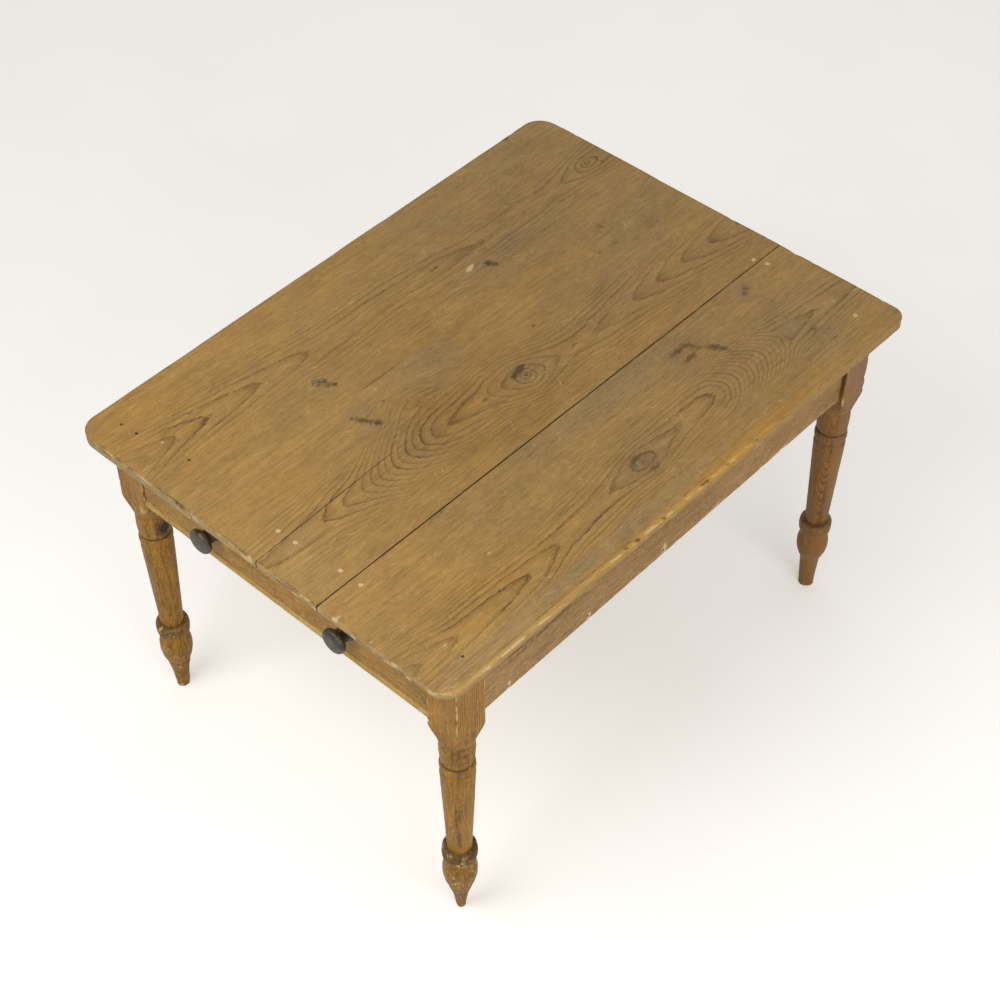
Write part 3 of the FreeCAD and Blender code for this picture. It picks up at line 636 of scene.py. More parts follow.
def board_patch(left_x, right_x, left_near, right_near):
    """A grid of points over a board: x and y of each row and column, drawn in at the rounded corners."""
    width = right_x(0.0) - left_x(0.0)
    share = columns(width, left_near, right_near) / width
    base = np.repeat(ROWS[:, None], len(share), 1)
    x = left_x(base) + share * (right_x(base) - left_x(base))
    y = base.copy()
    for (sx, sy), radius in CORNER_RADII.items():
        a = side_x(base, 1) - sx * x
        weight = limit((sy * base + HALF_LENGTH) / (2 * HALF_LENGTH))
        y = y - sy * rounding(radius, a) * weight ** 6
    return left_x(y) + share * (right_x(y) - left_x(y)), y


def open_edge(faces):
    """The open edge of a patch of quads, walked round as a ring of points."""
    edges = {(a, b) for face in faces for a, b in zip(face, face[1:] + face[:1])}
    ahead = {a: b for a, b in edges if (b, a) not in edges}
    ring = [next(iter(ahead))]
    while ahead[ring[-1]] != ring[0]:
        ring.append(ahead[ring[-1]])
    return ring


def band_faces(outer, inner):
    """Quads between two rings of points."""
    return [list(quad) for quad in zip(outer, np.roll(outer, -1), np.roll(inner, -1), inner)]


def punch(points, faces, ids, place):
    """Opens a round hole with a floor in a grid, four cells wide round the nearest point."""
    flat = np.array([points[i][:2] for i in ids.ravel()]).reshape(ids.shape + (2,))
    r, c = np.unravel_index(np.argmin(((flat - place) ** 2).sum(-1)), ids.shape)
    r0, r1, c0, c1 = r - 2, r + 2, c - 2, c + 2
    inside = set(ids[r0:r1 + 1, c0:c1 + 1].ravel().tolist())
    faces = [f for f in faces if not inside.issuperset(f)]
    rim = np.concatenate([ids[r0, c0:c1], ids[r0:r1, c1], ids[r1, c1:c0:-1], ids[r1:r0:-1, c0]])
    z = points[ids[r, c]][2]
    start = math.atan2(*(np.array(points[rim[0]])[:2] - place)[::-1])
    turns = start + 2 * math.pi * np.arange(HOLE_SIDES) / HOLE_SIDES
    for scale, drop in ((1.5, 0.0), (1.05, 0.25), (1.0, 1.0), (0.9, HOLE_DEPTH)):
        ring = np.arange(HOLE_SIDES) + len(points)
        size = HOLE_RADIUS * scale
        points.extend([place[0] + size * math.cos(t), place[1] + size * math.sin(t), z - drop] for t in turns)
        faces += band_faces(rim, ring)
        rim = ring
    return faces + [rim.tolist()]


def top_relief(field):
    """Gentle hollows and planing waves of the old surface."""
    relief = 0.35 * field(0, 110, 260, 1) + 0.15 * field(1, 28, 160, 1)
    return np.minimum(relief, RELIEF_TOP) - RELIEF_TOP


def packing(x, y):
    """How far old dirt reaches into the open joint and the split from each wall, below the top."""
    from_joint = np.abs(np.abs(x - open_joint_x(y) - OPEN_JOINT / 2) - OPEN_JOINT / 2)
    from_split = np.abs(np.abs(x - split_x(y)) - split_half(y))
    at_split = (y < SPLIT_TIP_Y) & (from_split < PACKING_GAP)
    half = np.where(from_joint < PACKING_GAP, OPEN_JOINT / 2, np.where(at_split, split_half(y), 0))
    return np.maximum(half - PACKING_GAP, 0) * smooth(3, 9, HALF_LENGTH - np.abs(y))


def under_bevel(x, y):
    """The worn lower arris round the near right corner: its rise, and how far it draws in along x and y."""
    front, right = y + HALF_LENGTH, side_x(y, 1) - x
    along_front = smooth(-380, 260, x) * smooth(70, 10, front)
    along_right = (1 - smooth(-120, 320, y)) * smooth(70, 10, right)
    rise = UNDER_BEVEL * np.maximum(along_front, along_right)
    return rise, -rise * limit(1 - right / BEVEL_DRAW), rise * limit(1 - front / BEVEL_DRAW)


def board_piece(board, patch, parted=None):
    """A closed board of the top with worn edges, which may be split along a column up to a row."""
    x, y = patch
    ids = np.arange(x.size).reshape(x.shape)
    strips = list(range(x.shape[1] - 1))
    if parted is not None:
        row, column = parted
        ids[row:, column + 1] = ids[row:, column]
        strips.remove(column)
    faces = []
    for c in strips:
        faces += np.stack([ids[:-1, c], ids[:-1, c + 1], ids[1:, c + 1], ids[1:, c]], -1).tolist()
    x, y = x.ravel(), y.ravel()
    flat = np.stack([x, y, np.zeros_like(x)], 1)
    field = noise_field(flat, board.seed)
    arris = ARRIS * (1 + 0.5 * field(0, 60, 60, 1)) + CHIP * smooth(0.5, 0.9, field(1, 22, 22, 1))
    rubbed_and_highlit = smooth(30, 8, side_x(y, 1) - x) * (1 - smooth(-150, 250, y))
    arris = arris + rubbed_and_highlit * (RUBBED_ARRIS + 1.5 * field(2, 30, 45, 1))
    drop = rounding(arris, outer_distance(x, y))
    for gap, radius in board.joints(x, y):
        drop = np.maximum(drop, rounding(radius, gap))
    z = HEIGHT - drop + top_relief(noise_field(flat, RELIEF_SEED))
    points = np.stack([x, y, z], 1).tolist()
    outline = open_edge(faces)
    for place in board.holes:
        faces = punch(points, faces, ids, np.array(place))

    # Walls and underside
    base = np.array([points[i] for i in outline])
    base_x, base_y, base_z = base.T
    ahead = np.roll(base, -1, 0)[:, :2] - np.roll(base, 1, 0)[:, :2]
    inward = np.stack([-ahead[:, 1], ahead[:, 0]], 1)
    inward = inward / np.maximum(np.linalg.norm(ahead, axis=1, keepdims=True), TINY)
    bevel, draw_x, draw_y = under_bevel(base_x, base_y)
    dirt = packing(base_x, base_y)
    outer = outer_distance(base_x, base_y) < 0.5
    rim = outline
    for share, inset in WALL:
        wall = base.copy()
        wall[:, 2] += (UNDERSIDE + bevel - base_z) * share
        rough = noise(wall, (16, 16, 7), board.seed + 3)
        at_joint = inset * 0.2 - dirt * (0.4 < share < 1)
        wall[:, :2] += inward * np.where(outer, inset + 0.5 * (rough + 1) * (share < 1), at_joint)[:, None]
        if share == 1.0:
            wall += np.column_stack([draw_x, draw_y, -bevel])
        ring = np.arange(len(outline)) + len(points)
        points.extend(wall.tolist())
        faces += band_faces(ring, rim)
        rim = ring
    faces.append(rim[::-1].tolist())
    used, index = np.unique(np.concatenate([np.ravel(face) for face in faces]), return_inverse=True)
    ends = np.cumsum([len(face) for face in faces])
    faces = np.split(index, ends[:-1])
    points = np.array(points)[used]
    piece("top_" + board.place, "top_board_" + board.place, "table", "top_pine", TOP_PINE, points, faces,
          **board_grain(points, board))


# Grain and marks of the top

TOP_RING = 4.5
RING_DIP = 0.9


def swirl(x, y):
    """Where the grain of the middle board swings out to the knots on its left."""
    return bell(y, KNOT_GROUP_Y, 80) * window(-150, -105, -105, -8, x)


def board_grain(points, board):
    """Rings of a plain-sawn board, by their level along its middle line and their spread, and its marks."""
    x, y, z = points.T
    field = noise_field(points, board.grain_seed)
    moved = x + board.swing * swirl(x, y)
    for kx, ky, rx, ry, push, extra in board.knots:
        moved = moved - push * np.tanh((x - kx) / rx) * bell(x, kx, 2.2 * rx) * bell(y, ky, 2.2 * ry)
    side = moved - curve(board.centre, y)
    depth = RING_DIP * (HEIGHT - z) / TOP_RING
    core = board.spread / TOP_RING ** 2 + depth
    ring = curve(board.level, y) + np.hypot(core, side / TOP_RING) - core + depth + 0.006 * np.abs(side)
    ring = ring + 0.2 * field(0, 34, 190, 60) + 0.09 * field(1, 11, 40, 30)
    strength = 0.85 * bell(side, 0, board.reach) * (0.8 + 0.4 * field(3, 45, 150, 60))
    strength = (strength + 0.05) * (1 - limit(spots(x, y, board.quiet)))
    for kx, ky, rx, ry, push, extra in board.knots:
        reach = np.hypot((x - kx) / rx, (y - ky) / ry)
        ring = ring - extra * np.exp(-reach)
        strength = np.maximum(strength, 0.27 * extra * bell(reach, 0, 2.2))

    # Worn edges: chips, a painted shadow line and a painted highlight along the arris, the rubbed right edge
    # with its rope-like tears and painted highlights, and crumbs on the drawer end
    edge = np.maximum(outer_distance(x, y), 0)
    rubbed_and_highlit = smooth(30, 12, side_x(y, 1) - x) * (1 - smooth(60, 400, y))
    chips = field(5, 26, 26, 26)
    slanted = np.stack([x + 0.7 * y, y - x, z], 1)
    rope = noise(slanted, (30, 13, 12), board.grain_seed + 8) * smooth(-330, -250, y)
    front = smooth(6, 0.5, y + HALF_LENGTH)
    crumbs = field(9, 15, 15, 6)
    upper = smooth(HEIGHT - 12, HEIGHT - 5, z)
    dark = 0.02 + 0.08 * field(4, 60, 90, 60) + spots(x, y, board.dark)
    # Painted shadow line just inside the arris, broken by chips.
    dark += 0.36 * bell(edge, 3.6, 1.4) * limit(0.55 - 1.1 * chips) * (1 - rubbed_and_highlit)
    dark += 0.6 * rubbed_and_highlit * bell(edge - 1.5 * chips, 11.5, 1.1) * limit(0.7 + chips)
    dark += 2.0 * rubbed_and_highlit * bell(edge, 5, 4) * limit(rope - 0.08, 0.4)
    dark += 0.9 * front * limit(0.1 + field(10, 60, 12, 2.4)) * limit(0.7 - 0.8 * crumbs)
    soil = limit(0.75 + 0.5 * field(11, 20, 45, 20))
    for gap, radius in board.joints(x, y):
        dark += soil * smooth(0.1, 0.6, radius) * bell(gap, 0, 0.8)
    # Pale along the arris: partly pale chips of worn wood, partly a painted highlight.
    light = 0.3 * bell(edge, 0, 2.2) * limit(0.25 + 1.2 * chips, 1.2) * (1 - rubbed_and_highlit)
    light += spots(x, y, board.light)
    light += 1.4 * rubbed_and_highlit * bell(edge, 4, 3.5) * limit(-rope - 0.1, 0.4)
    light += 1.2 * front * limit(0.1 + crumbs) * (0.35 + 0.65 * smooth(-250, 350, x))
    # Painted highlight: cream lines along the rounded arris near the front right corner.
    light += 0.8 * rubbed_and_highlit * bell(edge, 3, 2) * smooth(-250, -420, y) * limit(0.6 + 1.2 * chips)
    light += 0.3 * rubbed_and_highlit * (1 - upper) * limit(0.4 + 1.2 * crumbs)
    tone = 0.47 + 0.05 * field(6, 170, 240, 60) + spots(x, y, TONES)
    # Painted highlight: a bright golden band along the top of the rounded right arris; the warmer tint goes
    # with it, and the edge face below is cooler.
    tone += 0.34 * rubbed_and_highlit * bell(edge, 5, 5) * upper
    tint = 0.5 + spots(x, y, board.tints) + 0.14 * field(7, 150, 260, 60) - 0.1 * smooth(-100, 400, y)
    tint += rubbed_and_highlit * ((0.35 + 0.3 * smooth(-420, -250, y)) * upper - 0.2)
    marks = np.stack([dark, light, tone, limit(strength)], 1)
    return {"ring": ring, "flow": np.stack([moved, y, z], 1) * MM, "marks": marks, "tint": limit(tint)}


# The boards. centre and level give the middle line of the rings and their number along y, back to front.
# A knot is x, y, half width, half length, push of the grain and extra rings. holes are open nails.
# dark, light, tints and quiet are spots: stains, scuffs, cooler or warmer wood, and wood without rings.

# Lighter and darker parts of the whole top, as spots
TONES = [(45, -80, 130, 170, -0.2), (-200, 0, 120, 220, -0.07), (70, -570, 110, 80, 0.22),
    (410, -520, 50, 130, 0.2), (0, 300, 400, 120, -0.07), (190, -300, 60, 120, -0.06),
    (330, 520, 160, 120, 0.03), (335, -12, 30, 46, -0.1), (-10, -200, 70, 80, -0.12),
    (130, -150, 55, 240, -0.09), (-410, -550, 50, 70, -0.08)]
LEFT = Named(
    place="left", seed=51, grain_seed=11, joints=left_joints, spread=450, reach=58, swing=0,
    holes=[(-392.5, -552.0), (-356.0, -549.0), (-240.5, -530.5)], quiet=[],
    centre=[(613, -278), (475, -270), (215, -268), (120, -277), (0, -284), (-140, -280), (-230, -286),
        (-320, -292), (-510, -300), (-613, -297)],
    level=[(613, 8.4), (560, 9), (520, 9.5), (475, 10), (425, 10.35), (375, 10), (215, 9.94), (180, 9.75),
        (140, 9.4), (0, 9.22), (-100, 9.1), (-140, 9), (-200, 8.85), (-240, 8.5), (-320, 8), (-400, 7.3),
        (-440, 7), (-510, 6), (-570, 5), (-613, 4.2)],
    knots=[(-276, 556, 13, 19, 8, 3), (-208, 200, 9, 11, 5, 0), (-212, -245, 16, 12, 8, 0)],
    dark=[(-297, 565, 5, 6, 0.6), (-258, 580, 7, 5, 0.6, 30), (-276, 556, 16, 24, 0.2),
        (-213, 196, 9, 8, 0.9), (-201, 205, 7, 8, 0.8), (-278, 117, 3.5, 17, 0.7),
        (-210, -244, 20, 13, 0.4, 10), (-190, -231, 5, 4.5, 1), (-222, -255, 3, 9, 0.5, 50),
        (-211, -252, 3, 9, 0.5, 35), (-209, -238, 3, 9, 0.5, 65), (-197, -240, 3, 9, 0.5, 20),
        (-217, 268, 5, 60, 0.35), (-449, 505, 7, 8, 0.7), (-448, -410, 6, 20, 0.85), (-270, 320, 3, 52, 0.5),
        (-282, -215, 8, 22, 0.22), (-348, 193, 4, 6, 0.35, 40), (-296, -590, 10, 16, 0.25),
        (-225, 16, 3, 4, 0.6), (-174, -418, 3, 3, 0.5), (-200, 120, 22, 60, 0.14)],
    light=[(-230, 165, 5, 11, 1, 12), (-225, 156, 10, 11, 0.32), (-418, 138, 20, 16, 0.3, 20),
        (-384, -172, 6, 12, 0.3), (-418, -412, 4, 4, 0.7, 40), (-372, -375, 3, 3, 0.6),
        (-306, -534, 4, 3, 0.7)],
    tints=[(-330, -520, 170, 150, 0.24), (-360, -260, 120, 200, 0.1), (-400, 250, 70, 240, -0.14),
        (-212, -242, 30, 22, -0.25), (-215, 240, 25, 130, -0.3)])
MIDDLE = Named(
    place="middle", seed=61, grain_seed=21, joints=middle_joints, spread=450, reach=78, swing=32,
    holes=[], quiet=[],
    centre=[(613, 62), (440, 56), (290, 57), (172, 60), (97, 52), (13, 44), (-70, 30), (-172, 28), (-230, 27),
        (-340, 35), (-430, 30), (-613, 34)],
    level=[(613, 7.8), (520, 9), (440, 10), (365, 11), (290, 12), (172, 13), (133, 13.25), (97, 13), (55, 12),
        (13, 11), (-45, 12), (-70, 13), (-120, 13.5), (-172, 14), (-210, 15), (-232, 16), (-250, 17),
        (-270, 18), (-288, 19), (-305, 20), (-322, 21), (-340, 22), (-358, 23), (-380, 24), (-428, 25),
        (-475, 26), (-613, 26.7)],
    knots=[(44, 15, 12, 13, 6, 3), (-128, -196, 10, 10, 6, 0), (-82, -256, 16, 9, 6, 0)],
    dark=[(-85, 490, 24, 24, 0.28), (-60, 505, 18, 28, 0.26), (-55, 445, 14, 18, 0.3),
        (-78, 405, 6, 10, 0.46), (-130, 421, 14, 14, 0.42), (-82, 362, 19, 7, 0.42, 5),
        (-60, 382, 10, 5, 0.4, -30), (-125, 259, 12, 4, 0.35, 18), (-34, 121, 6, 6, 0.6),
        (-97, -204, 3.5, 3.5, 0.7), (-89, -215, 3, 5, 0.5, 20), (-84, -260, 24, 8, 0.3, 30),
        (-63, -247, 6, 7, 0.7, 42), (-100, -88, 55, 45, 0.14), (-20, -160, 36, 22, 0.28),
        (55, 133, 2.6, 16, 0.6), (33, -80, 3.5, 10, 0.65), (127, 112, 7, 6, 0.3), (23, 27, 6, 8, 0.75),
        (27, 12, 8, 12, 0.68), (30, -3, 6, 7, 0.6), (45, 16, 4, 4, 0.45), (40, 10, 22, 26, 0.16),
        (65, 540, 14, 40, 0.24), (-20, 470, 5, 6, 0.45), (-145, -165, 2.5, 48, 0.8), (-8, 265, 8, 8, 0.25),
        (130, -300, 8, 8, 0.2), (28, -340, 10, 8, 0.25), (-107, -274, 2.8, 9, 0.62, 42),
        (-99, -268, 2.8, 9, 0.62, 42), (-91, -263, 2.8, 9, 0.62, 42), (-83, -260, 2.8, 9, 0.62, 42),
        (-75, -255, 2.8, 9, 0.62, 42), (-67, -250, 2.8, 9, 0.62, 42)],
    light=[(-130, -193, 9, 8, 0.5), (-112, -175, 16, 4, 0.3, 20), (140, 147, 14, 1.6, 0.5),
        (135, -201, 16, 1.4, 0.5), (35, 60, 10, 6, 0.2, 20)],
    tints=[(-90, -480, 70, 130, 0.16), (-110, -90, 60, 70, -0.4), (-90, -245, 45, 40, -0.25),
        (-15, -160, 45, 30, 0.3), (35, 15, 40, 45, -0.3), (20, -110, 20, 45, 0.25),
        (110, -120, 40, 150, 0.12), (-60, 450, 70, 90, -0.2), (40, -560, 60, 60, -0.12)])
RIGHT = Named(
    place="right", seed=71, grain_seed=31, joints=right_joints, spread=330, reach=66, swing=0,
    holes=[(398.0, -528.5)],
    centre=[(613, 322), (400, 318), (215, 318), (100, 325), (0, 335), (-95, 340), (-240, 352), (-320, 362),
        (-497, 366), (-613, 356)],
    level=[(613, 31.5), (480, 30.8), (400, 30), (215, 16), (180, 15.4), (100, 15), (0, 14.5), (-95, 15),
        (-160, 15.1), (-240, 15), (-280, 14.5), (-315, 14), (-400, 13.4), (-497, 13), (-613, 11.5)],
    knots=[(335, -12, 16, 28, 10, 1.7), (192, 460, 9, 13, 4, 0), (350, 456, 8, 16, 4, 0)],
    dark=[(188, 466, 10, 12, 0.52), (199, 451, 9, 10, 0.5), (350, 455, 10, 19, 0.52), (330, 410, 14, 7, 0.5),
        (312, 462, 14, 22, 0.22), (368, 482, 9, 10, 0.3), (392, 468, 6, 14, 0.35, 15), (248, 476, 3, 4, 0.4),
        (268, 466, 2.5, 14, 0.35), (205, 248, 8, 24, 0.8), (217, 276, 17, 8, 0.6, 25),
        (232, 247, 7, 25, 0.78, 8), (243, 297, 11, 14, 0.62, -35), (261, 308, 16, 10, 0.62, 20),
        (285, 305, 4, 14, 0.3, 40), (402, 218, 9, 4, 0.3, -20), (322, -14, 7, 13, 0.46),
        (338, -22, 24, 40, 0.26), (361, -6, 8, 15, 0.4), (164, 330, 5, 45, 0.3), (163, -345, 5, 38, 0.35),
        (340, -560, 3, 40, 0.35, -12), (425, -300, 26, 330, 0.05), (404, 557, 4, 4, 0.5)],
    light=[(300, -298, 9, 2, 0.6, -15), (283, -340, 4, 8, 0.5), (285, -113, 2.5, 6, 0.6),
        (322, -78, 4, 4, 0.6), (240, -100, 18, 2, 0.45, 30), (170, -107, 8, 2, 0.5, 15),
        (262, -55, 13, 2, 0.4), (360, -368, 14, 3, 0.4), (362, -531, 5, 6, 0.6), (180, -530, 4, 5, 0.5),
        (198, -605, 4, 7, 0.7), (272, -605, 3, 6, 0.6), (177, 570, 5, 18, 0.3)],
    tints=[(340, -380, 55, 190, 0.3), (225, -470, 80, 140, 0.16), (422, -250, 24, 340, -0.5),
        (186, 80, 34, 230, -0.36), (335, -15, 40, 55, -0.35), (437, 230, 16, 200, 0.4),
        (350, 450, 70, 60, -0.3), (192, 460, 30, 34, -0.25), (240, 270, 60, 70, -0.05)],
    quiet=[(424, -290, 26, 300, 0.95), (200, -250, 45, 300, 0.5)])

board_piece(LEFT, board_patch(lambda y: side_x(y, -1), tight_x, OUTER_EDGE, JOINT_EDGE))
first_half = board_patch(tight_x, lambda y: split_x(y) - split_half(y), JOINT_EDGE, JOINT_EDGE)
second_half = board_patch(lambda y: split_x(y) + split_half(y), open_joint_x, JOINT_EDGE, JOINT_EDGE)
both_halves = [np.concatenate(pair, 1) for pair in zip(first_half, second_half)]
split_row = int(np.argmax(ROWS > SPLIT_TIP_Y))
board_piece(MIDDLE, both_halves, (split_row, first_half[0].shape[1] - 1))
board_piece(RIGHT, board_patch(
    lambda y: open_joint_x(y) + OPEN_JOINT, lambda y: side_x(y, 1), JOINT_EDGE, OUTER_EDGE))


# Legs

# From the foot up: rise, radius at its end and, for a curve, radius at its middle
LEG_STEPS = [
    (84, 20), (3, 22), (65, 27.5, 31.5), (15, 27.5, 26.5), (0, 31.5), (25, 31.5, 32.7), (2, 22.5), (218, 31),
    (16, 30.2, 31.2), (0, 29.2), (4, 29.2), (0, 30.4), (19, 30.4, 32), (0, 27.8), (5, 27.8), (0, 29.6),
    (56, 29.6, 31.6), (0, 31), (4, 31), (0, 33), (21, 40.8, 35.2), (21, 48.6, 46.4), (155, 48.6)]
PROFILE_STEP = 0.25
LEG_HEIGHTS = np.concatenate([
    [0, 0.8, 2, 4, 8], np.arange(14, 78, 8), np.arange(78, 200, 1.9), np.arange(200, 404, 8.5),
    np.arange(404, 563, 1.9), np.arange(564, UNDERSIDE - 1, 5.0), [UNDERSIDE]])
LEG_TURN_STEP = 6.0
NEAR_CORNER = (-5, -3, -1.6, -0.5, 0.5, 1.6, 3, 5)
LEG_RING = 4.6
# Heights, and how much darker the hollows of the turnings are made there
HOLLOW_DARKENING = (
    [0, 170, 188, 200, 420, 436, 446, 470, 505, 520], [0, 0.2, 0.7, 0.7, 0.3, 0.3, 1.0, 1.0, 0.7, 0.5])
# For each leg: its corner, radius of the tip, swell of the foot, soiling, pith, slope and boldness of rings,
# and knots, dark marks (one of them, on the back right leg, painted shade) and scuffs by turn in degrees and
# height
LEGS = {
    "front_left": Named(
        x=-1, y=-1, tip=12.5, swell=3.2, soil=0.7, pith=(-42, 30), seed=101, slope=0.0, bold=0.3,
        knots=[(-5, 475)], dark=[(-4, 479, 24, 17, 1.5), (-30, 500, 20, 12, 0.4), (-75, 340, 12, 90, 0.3)],
        light=[(-60, 545, 20, 14, 0.5, 20)]),
    "front_right": Named(
        x=1, y=-1, tip=8.0, swell=4.5, soil=1.0, pith=(38, 40), seed=111, slope=0.0, bold=0.15, knots=[],
        dark=[(-44, 300, 12, 110, 0.42), (-40, 470, 40, 24, 0.25)],
        light=[(-38, 212, 5, 3, 1.0), (-44, 255, 14, 50, 0.15)]),
    "back_left": Named(
        x=-1, y=1, tip=15.0, swell=0.0, soil=0.6, pith=(-30, -46), seed=121, slope=0.0, bold=0.15, knots=[],
        dark=[], light=[]),
    "back_right": Named(
        x=1, y=1, tip=15.5, swell=0.0, soil=0.25, pith=(34, -38), seed=131, slope=-0.034, bold=0.9,
        # The dark streak at -51 degrees on the block is painted shade in the recess beside the side rail,
        # partly a dirt-filled crack.
        knots=[(-48, 418)], dark=[(-48, 420, 5, 9, 0.4), (-51, 640, 4.5, 100, 1.1)], light=[])}


def leg_profile(tip):
    """Height and radius along a leg, softened a little, at fine steps."""
    z, r = [0.0], [tip]
    for rise, radius, *middle in LEG_STEPS:
        z0, r0 = z[-1], r[-1]
        share = np.linspace(0, 1, 12 if middle else 2)[1:]
        bow = middle[0] - (r0 + radius) / 2 if middle else 0
        z.extend(z0 + rise * share)
        r.extend(r0 + (radius - r0) * share + 4 * bow * share * (1 - share))
    z = np.array(z) + np.arange(len(z)) * 1e-6
    fine = np.arange(0, UNDERSIDE + PROFILE_STEP, PROFILE_STEP)
    return fine, softened(np.interp(fine, z, r), np.hanning(9))


def square_radius(turn, soften):
    """The reach of a square with softened corners in a direction."""
    c, s = np.abs(np.cos(turn)), np.abs(np.sin(turn))
    flat = LEG_HALF / np.maximum(c, s)
    inner = LEG_HALF - soften
    b = inner * (c + s)
    corner = b + np.sqrt(np.maximum(b * b - 2 * inner ** 2 + soften ** 2, 0))
    return np.where(np.minimum(c, s) * flat > inner, corner, flat)


def leg_piece(corner, leg):
    """A turned leg with a worn foot, dented turnings and a square block."""
    fine, profile = leg_profile(leg.tip)
    corner_turns = [45 + 90 * quarter + d for quarter in range(4) for d in NEAR_CORNER]
    turns = np.radians(np.concatenate([np.arange(0, 360, LEG_TURN_STEP), corner_turns]))
    turns = np.unique(np.round(turns, 6))
    t, h = [grid.ravel() for grid in np.meshgrid(turns, LEG_HEIGHTS)]
    field = noise_field(np.stack([60 * np.cos(t), 60 * np.sin(t), h], 1), leg.seed)
    soften = 1.5 + 0.8 * field(0, 60, 60, 30) + 5.0 * smooth(0.3, 0.9, field(1, 40, 40, 13))
    radius = np.interp(h, fine, profile) + leg.swell * bell(h, 80, 24)
    radius = radius * (1 + 0.006 * field(2, 50, 50, 90)) + 0.25 * field(3, 14, 14, 10)
    turned = window(425, 440, 515, 530, h) + 0.6 * window(70, 95, 185, 195, h)
    dents = leg.soil * turned * field(12, 24, 24, 7)
    reach = np.minimum(radius + 0.9 * dents, square_radius(t, soften))
    reach = reach * (1 + 0.1 * smooth(30, 0, h) * field(4, 30, 30, 14))
    local = np.stack([reach * np.cos(t), reach * np.sin(t), h], 1)
    degrees = (np.degrees(t) + 180) % 360 - 180
    ring, flow = log_rings(local, Z, leg.pith, LEG_RING, leg.seed, sway=9.0)
    ring = ring + leg.slope * h + spots(degrees, h, [(turn, at, 9, 16, -2.5) for turn, at in leg.knots])

    # Parts of the leg by height, and the face of the block that looks along x
    hollow = limit((softened(profile, np.ones(61)) - profile) / 2.2)
    hollow = np.interp(h, fine, hollow) * np.interp(h, *HOLLOW_DARKENING)
    block = smooth(545, 562, h)
    collar = window(163, 168, 191, 196, h)
    bulb = window(70, 95, 150, 160, h)
    foot = 1 - smooth(60, 90, h)
    shaft = smooth(194, 200, h) * (1 - block)
    face = block * smooth(0.6, 0.9, np.cos(t))
    edge = block * bell(t % (math.pi / 2), math.pi / 4, 0.05)
    mottle = field(5, 24, 24, 36)
    dark = 0.05 + 0.8 * hollow + leg.soil * (0.6 * collar + 0.2 * bulb + 0.3 * foot)
    dark += 0.16 * mottle * (1 - 0.6 * block) + 0.3 * shaft * smooth(0.2, 0.7, field(10, 10, 10, 80))
    # Painted shade in the hollows of the dents, and painted highlights on their ridges.
    dark += spots(degrees, h, leg.dark) + 0.35 * limit(-dents)
    light = 0.9 * edge * limit(0.5 + 1.3 * field(6, 30, 30, 9), 1.2) + 0.5 * limit(dents - 0.1)
    flecks = limit(0.3 + 1.6 * field(7, 12, 12, 6), 1.4)
    light += leg.soil * (0.4 * collar + 0.3 * bulb + 0.34 * foot) * flecks + spots(degrees, h, leg.light)
    light += 0.3 * smooth(14, 2, h) + 0.22 * smooth(0.5, 0.8, field(8, 16, 16, 18)) * (1 - block)
    tone = 0.5 - leg.soil * (0.25 * collar + 0.1 * bulb + 0.16 * foot) + 0.06 * field(9, 60, 60, 120)
    tone += 0.06 * block + 0.14 * face
    strength = 0.18 + 0.12 * block + face + leg.bold * shaft + 0.15 * mottle
    tint = 0.55 + 0.15 * block - 0.5 * leg.soil * collar - 0.1 * foot + 0.25 * field(11, 30, 30, 70)
    wood = LEG_PINE if leg.y < 0 else BACK_LEG_PINE
    points = local + np.array([leg.x * LEG_X, leg.y * LEG_Y, 0.0])
    marks = np.stack([dark, light, tone, strength], 1)
    piece("leg_turned_" + corner, "leg_" + corner, "table", "leg_pine", wood, points,
          tube(len(LEG_HEIGHTS), len(turns)), ring=ring, flow=flow, marks=marks, tint=limit(tint))


for corner, leg in LEGS.items():
    leg_piece(corner, leg)


# Rails and the drawer front. Their spots are by place along the rail and height.

RAIL_DARK = [(-410, 649, 60, 3.5, 0.7, -2), (-300, 646, 50, 3.5, 0.7, 3), (-380, 636, 70, 3.5, 0.6, 2),
    (-240, 637, 50, 3.5, 0.6, -3), (-170, 650, 70, 3.5, 0.6), (-320, 626, 60, 3, 0.4, 3),
    (-60, 640, 60, 26, 0.16), (60, 620, 70, 26, 0.2), (230, 655, 120, 20, 0.2), (330, 610, 60, 20, 0.14)]
RAIL_LIGHT = [(0, 566, 700, 4, 0.3), (-470, 620, 14, 60, 0.2), (-380, 600, 70, 20, 0.16),
    (120, 574, 60, 8, 0.3), (330, 572, 110, 7, 0.3), (-25, 579, 7, 10, 1.1), (-227, 577, 6, 7, 0.9),
    (-430, 578, 7, 8, 1)]
RAIL_TONES = [(-420, 600, 130, 50, 0.16)]
for side, sign, seed in (("left", -1, 201), ("right", 1, 211)):
    low_x, high_x = sorted((sign * RAIL_INNER_X, sign * RAIL_OUTER_X))
    plank_piece("side_rail_worn_" + side, "side_rail_" + side, "table", "rail_pine", RAIL_PINE_Y, Y,
                (low_x, -RAIL_END_Y, RAIL_LOW), (high_x, RAIL_END_Y, UNDERSIDE), (sign * 330, 470), 6.0, seed,
                strength=0.9, dark=RAIL_DARK, light=RAIL_LIGHT, tones=RAIL_TONES)
plank_piece("back_rail_worn", "back_rail", "table", "rail_pine", BACK_RAIL_PINE, X,
            (-CROSS_RAIL_END_X, BACK_RAIL_YS[0], RAIL_LOW), (CROSS_RAIL_END_X, BACK_RAIL_YS[1], UNDERSIDE),
            (480, 610), 6.0, 221)
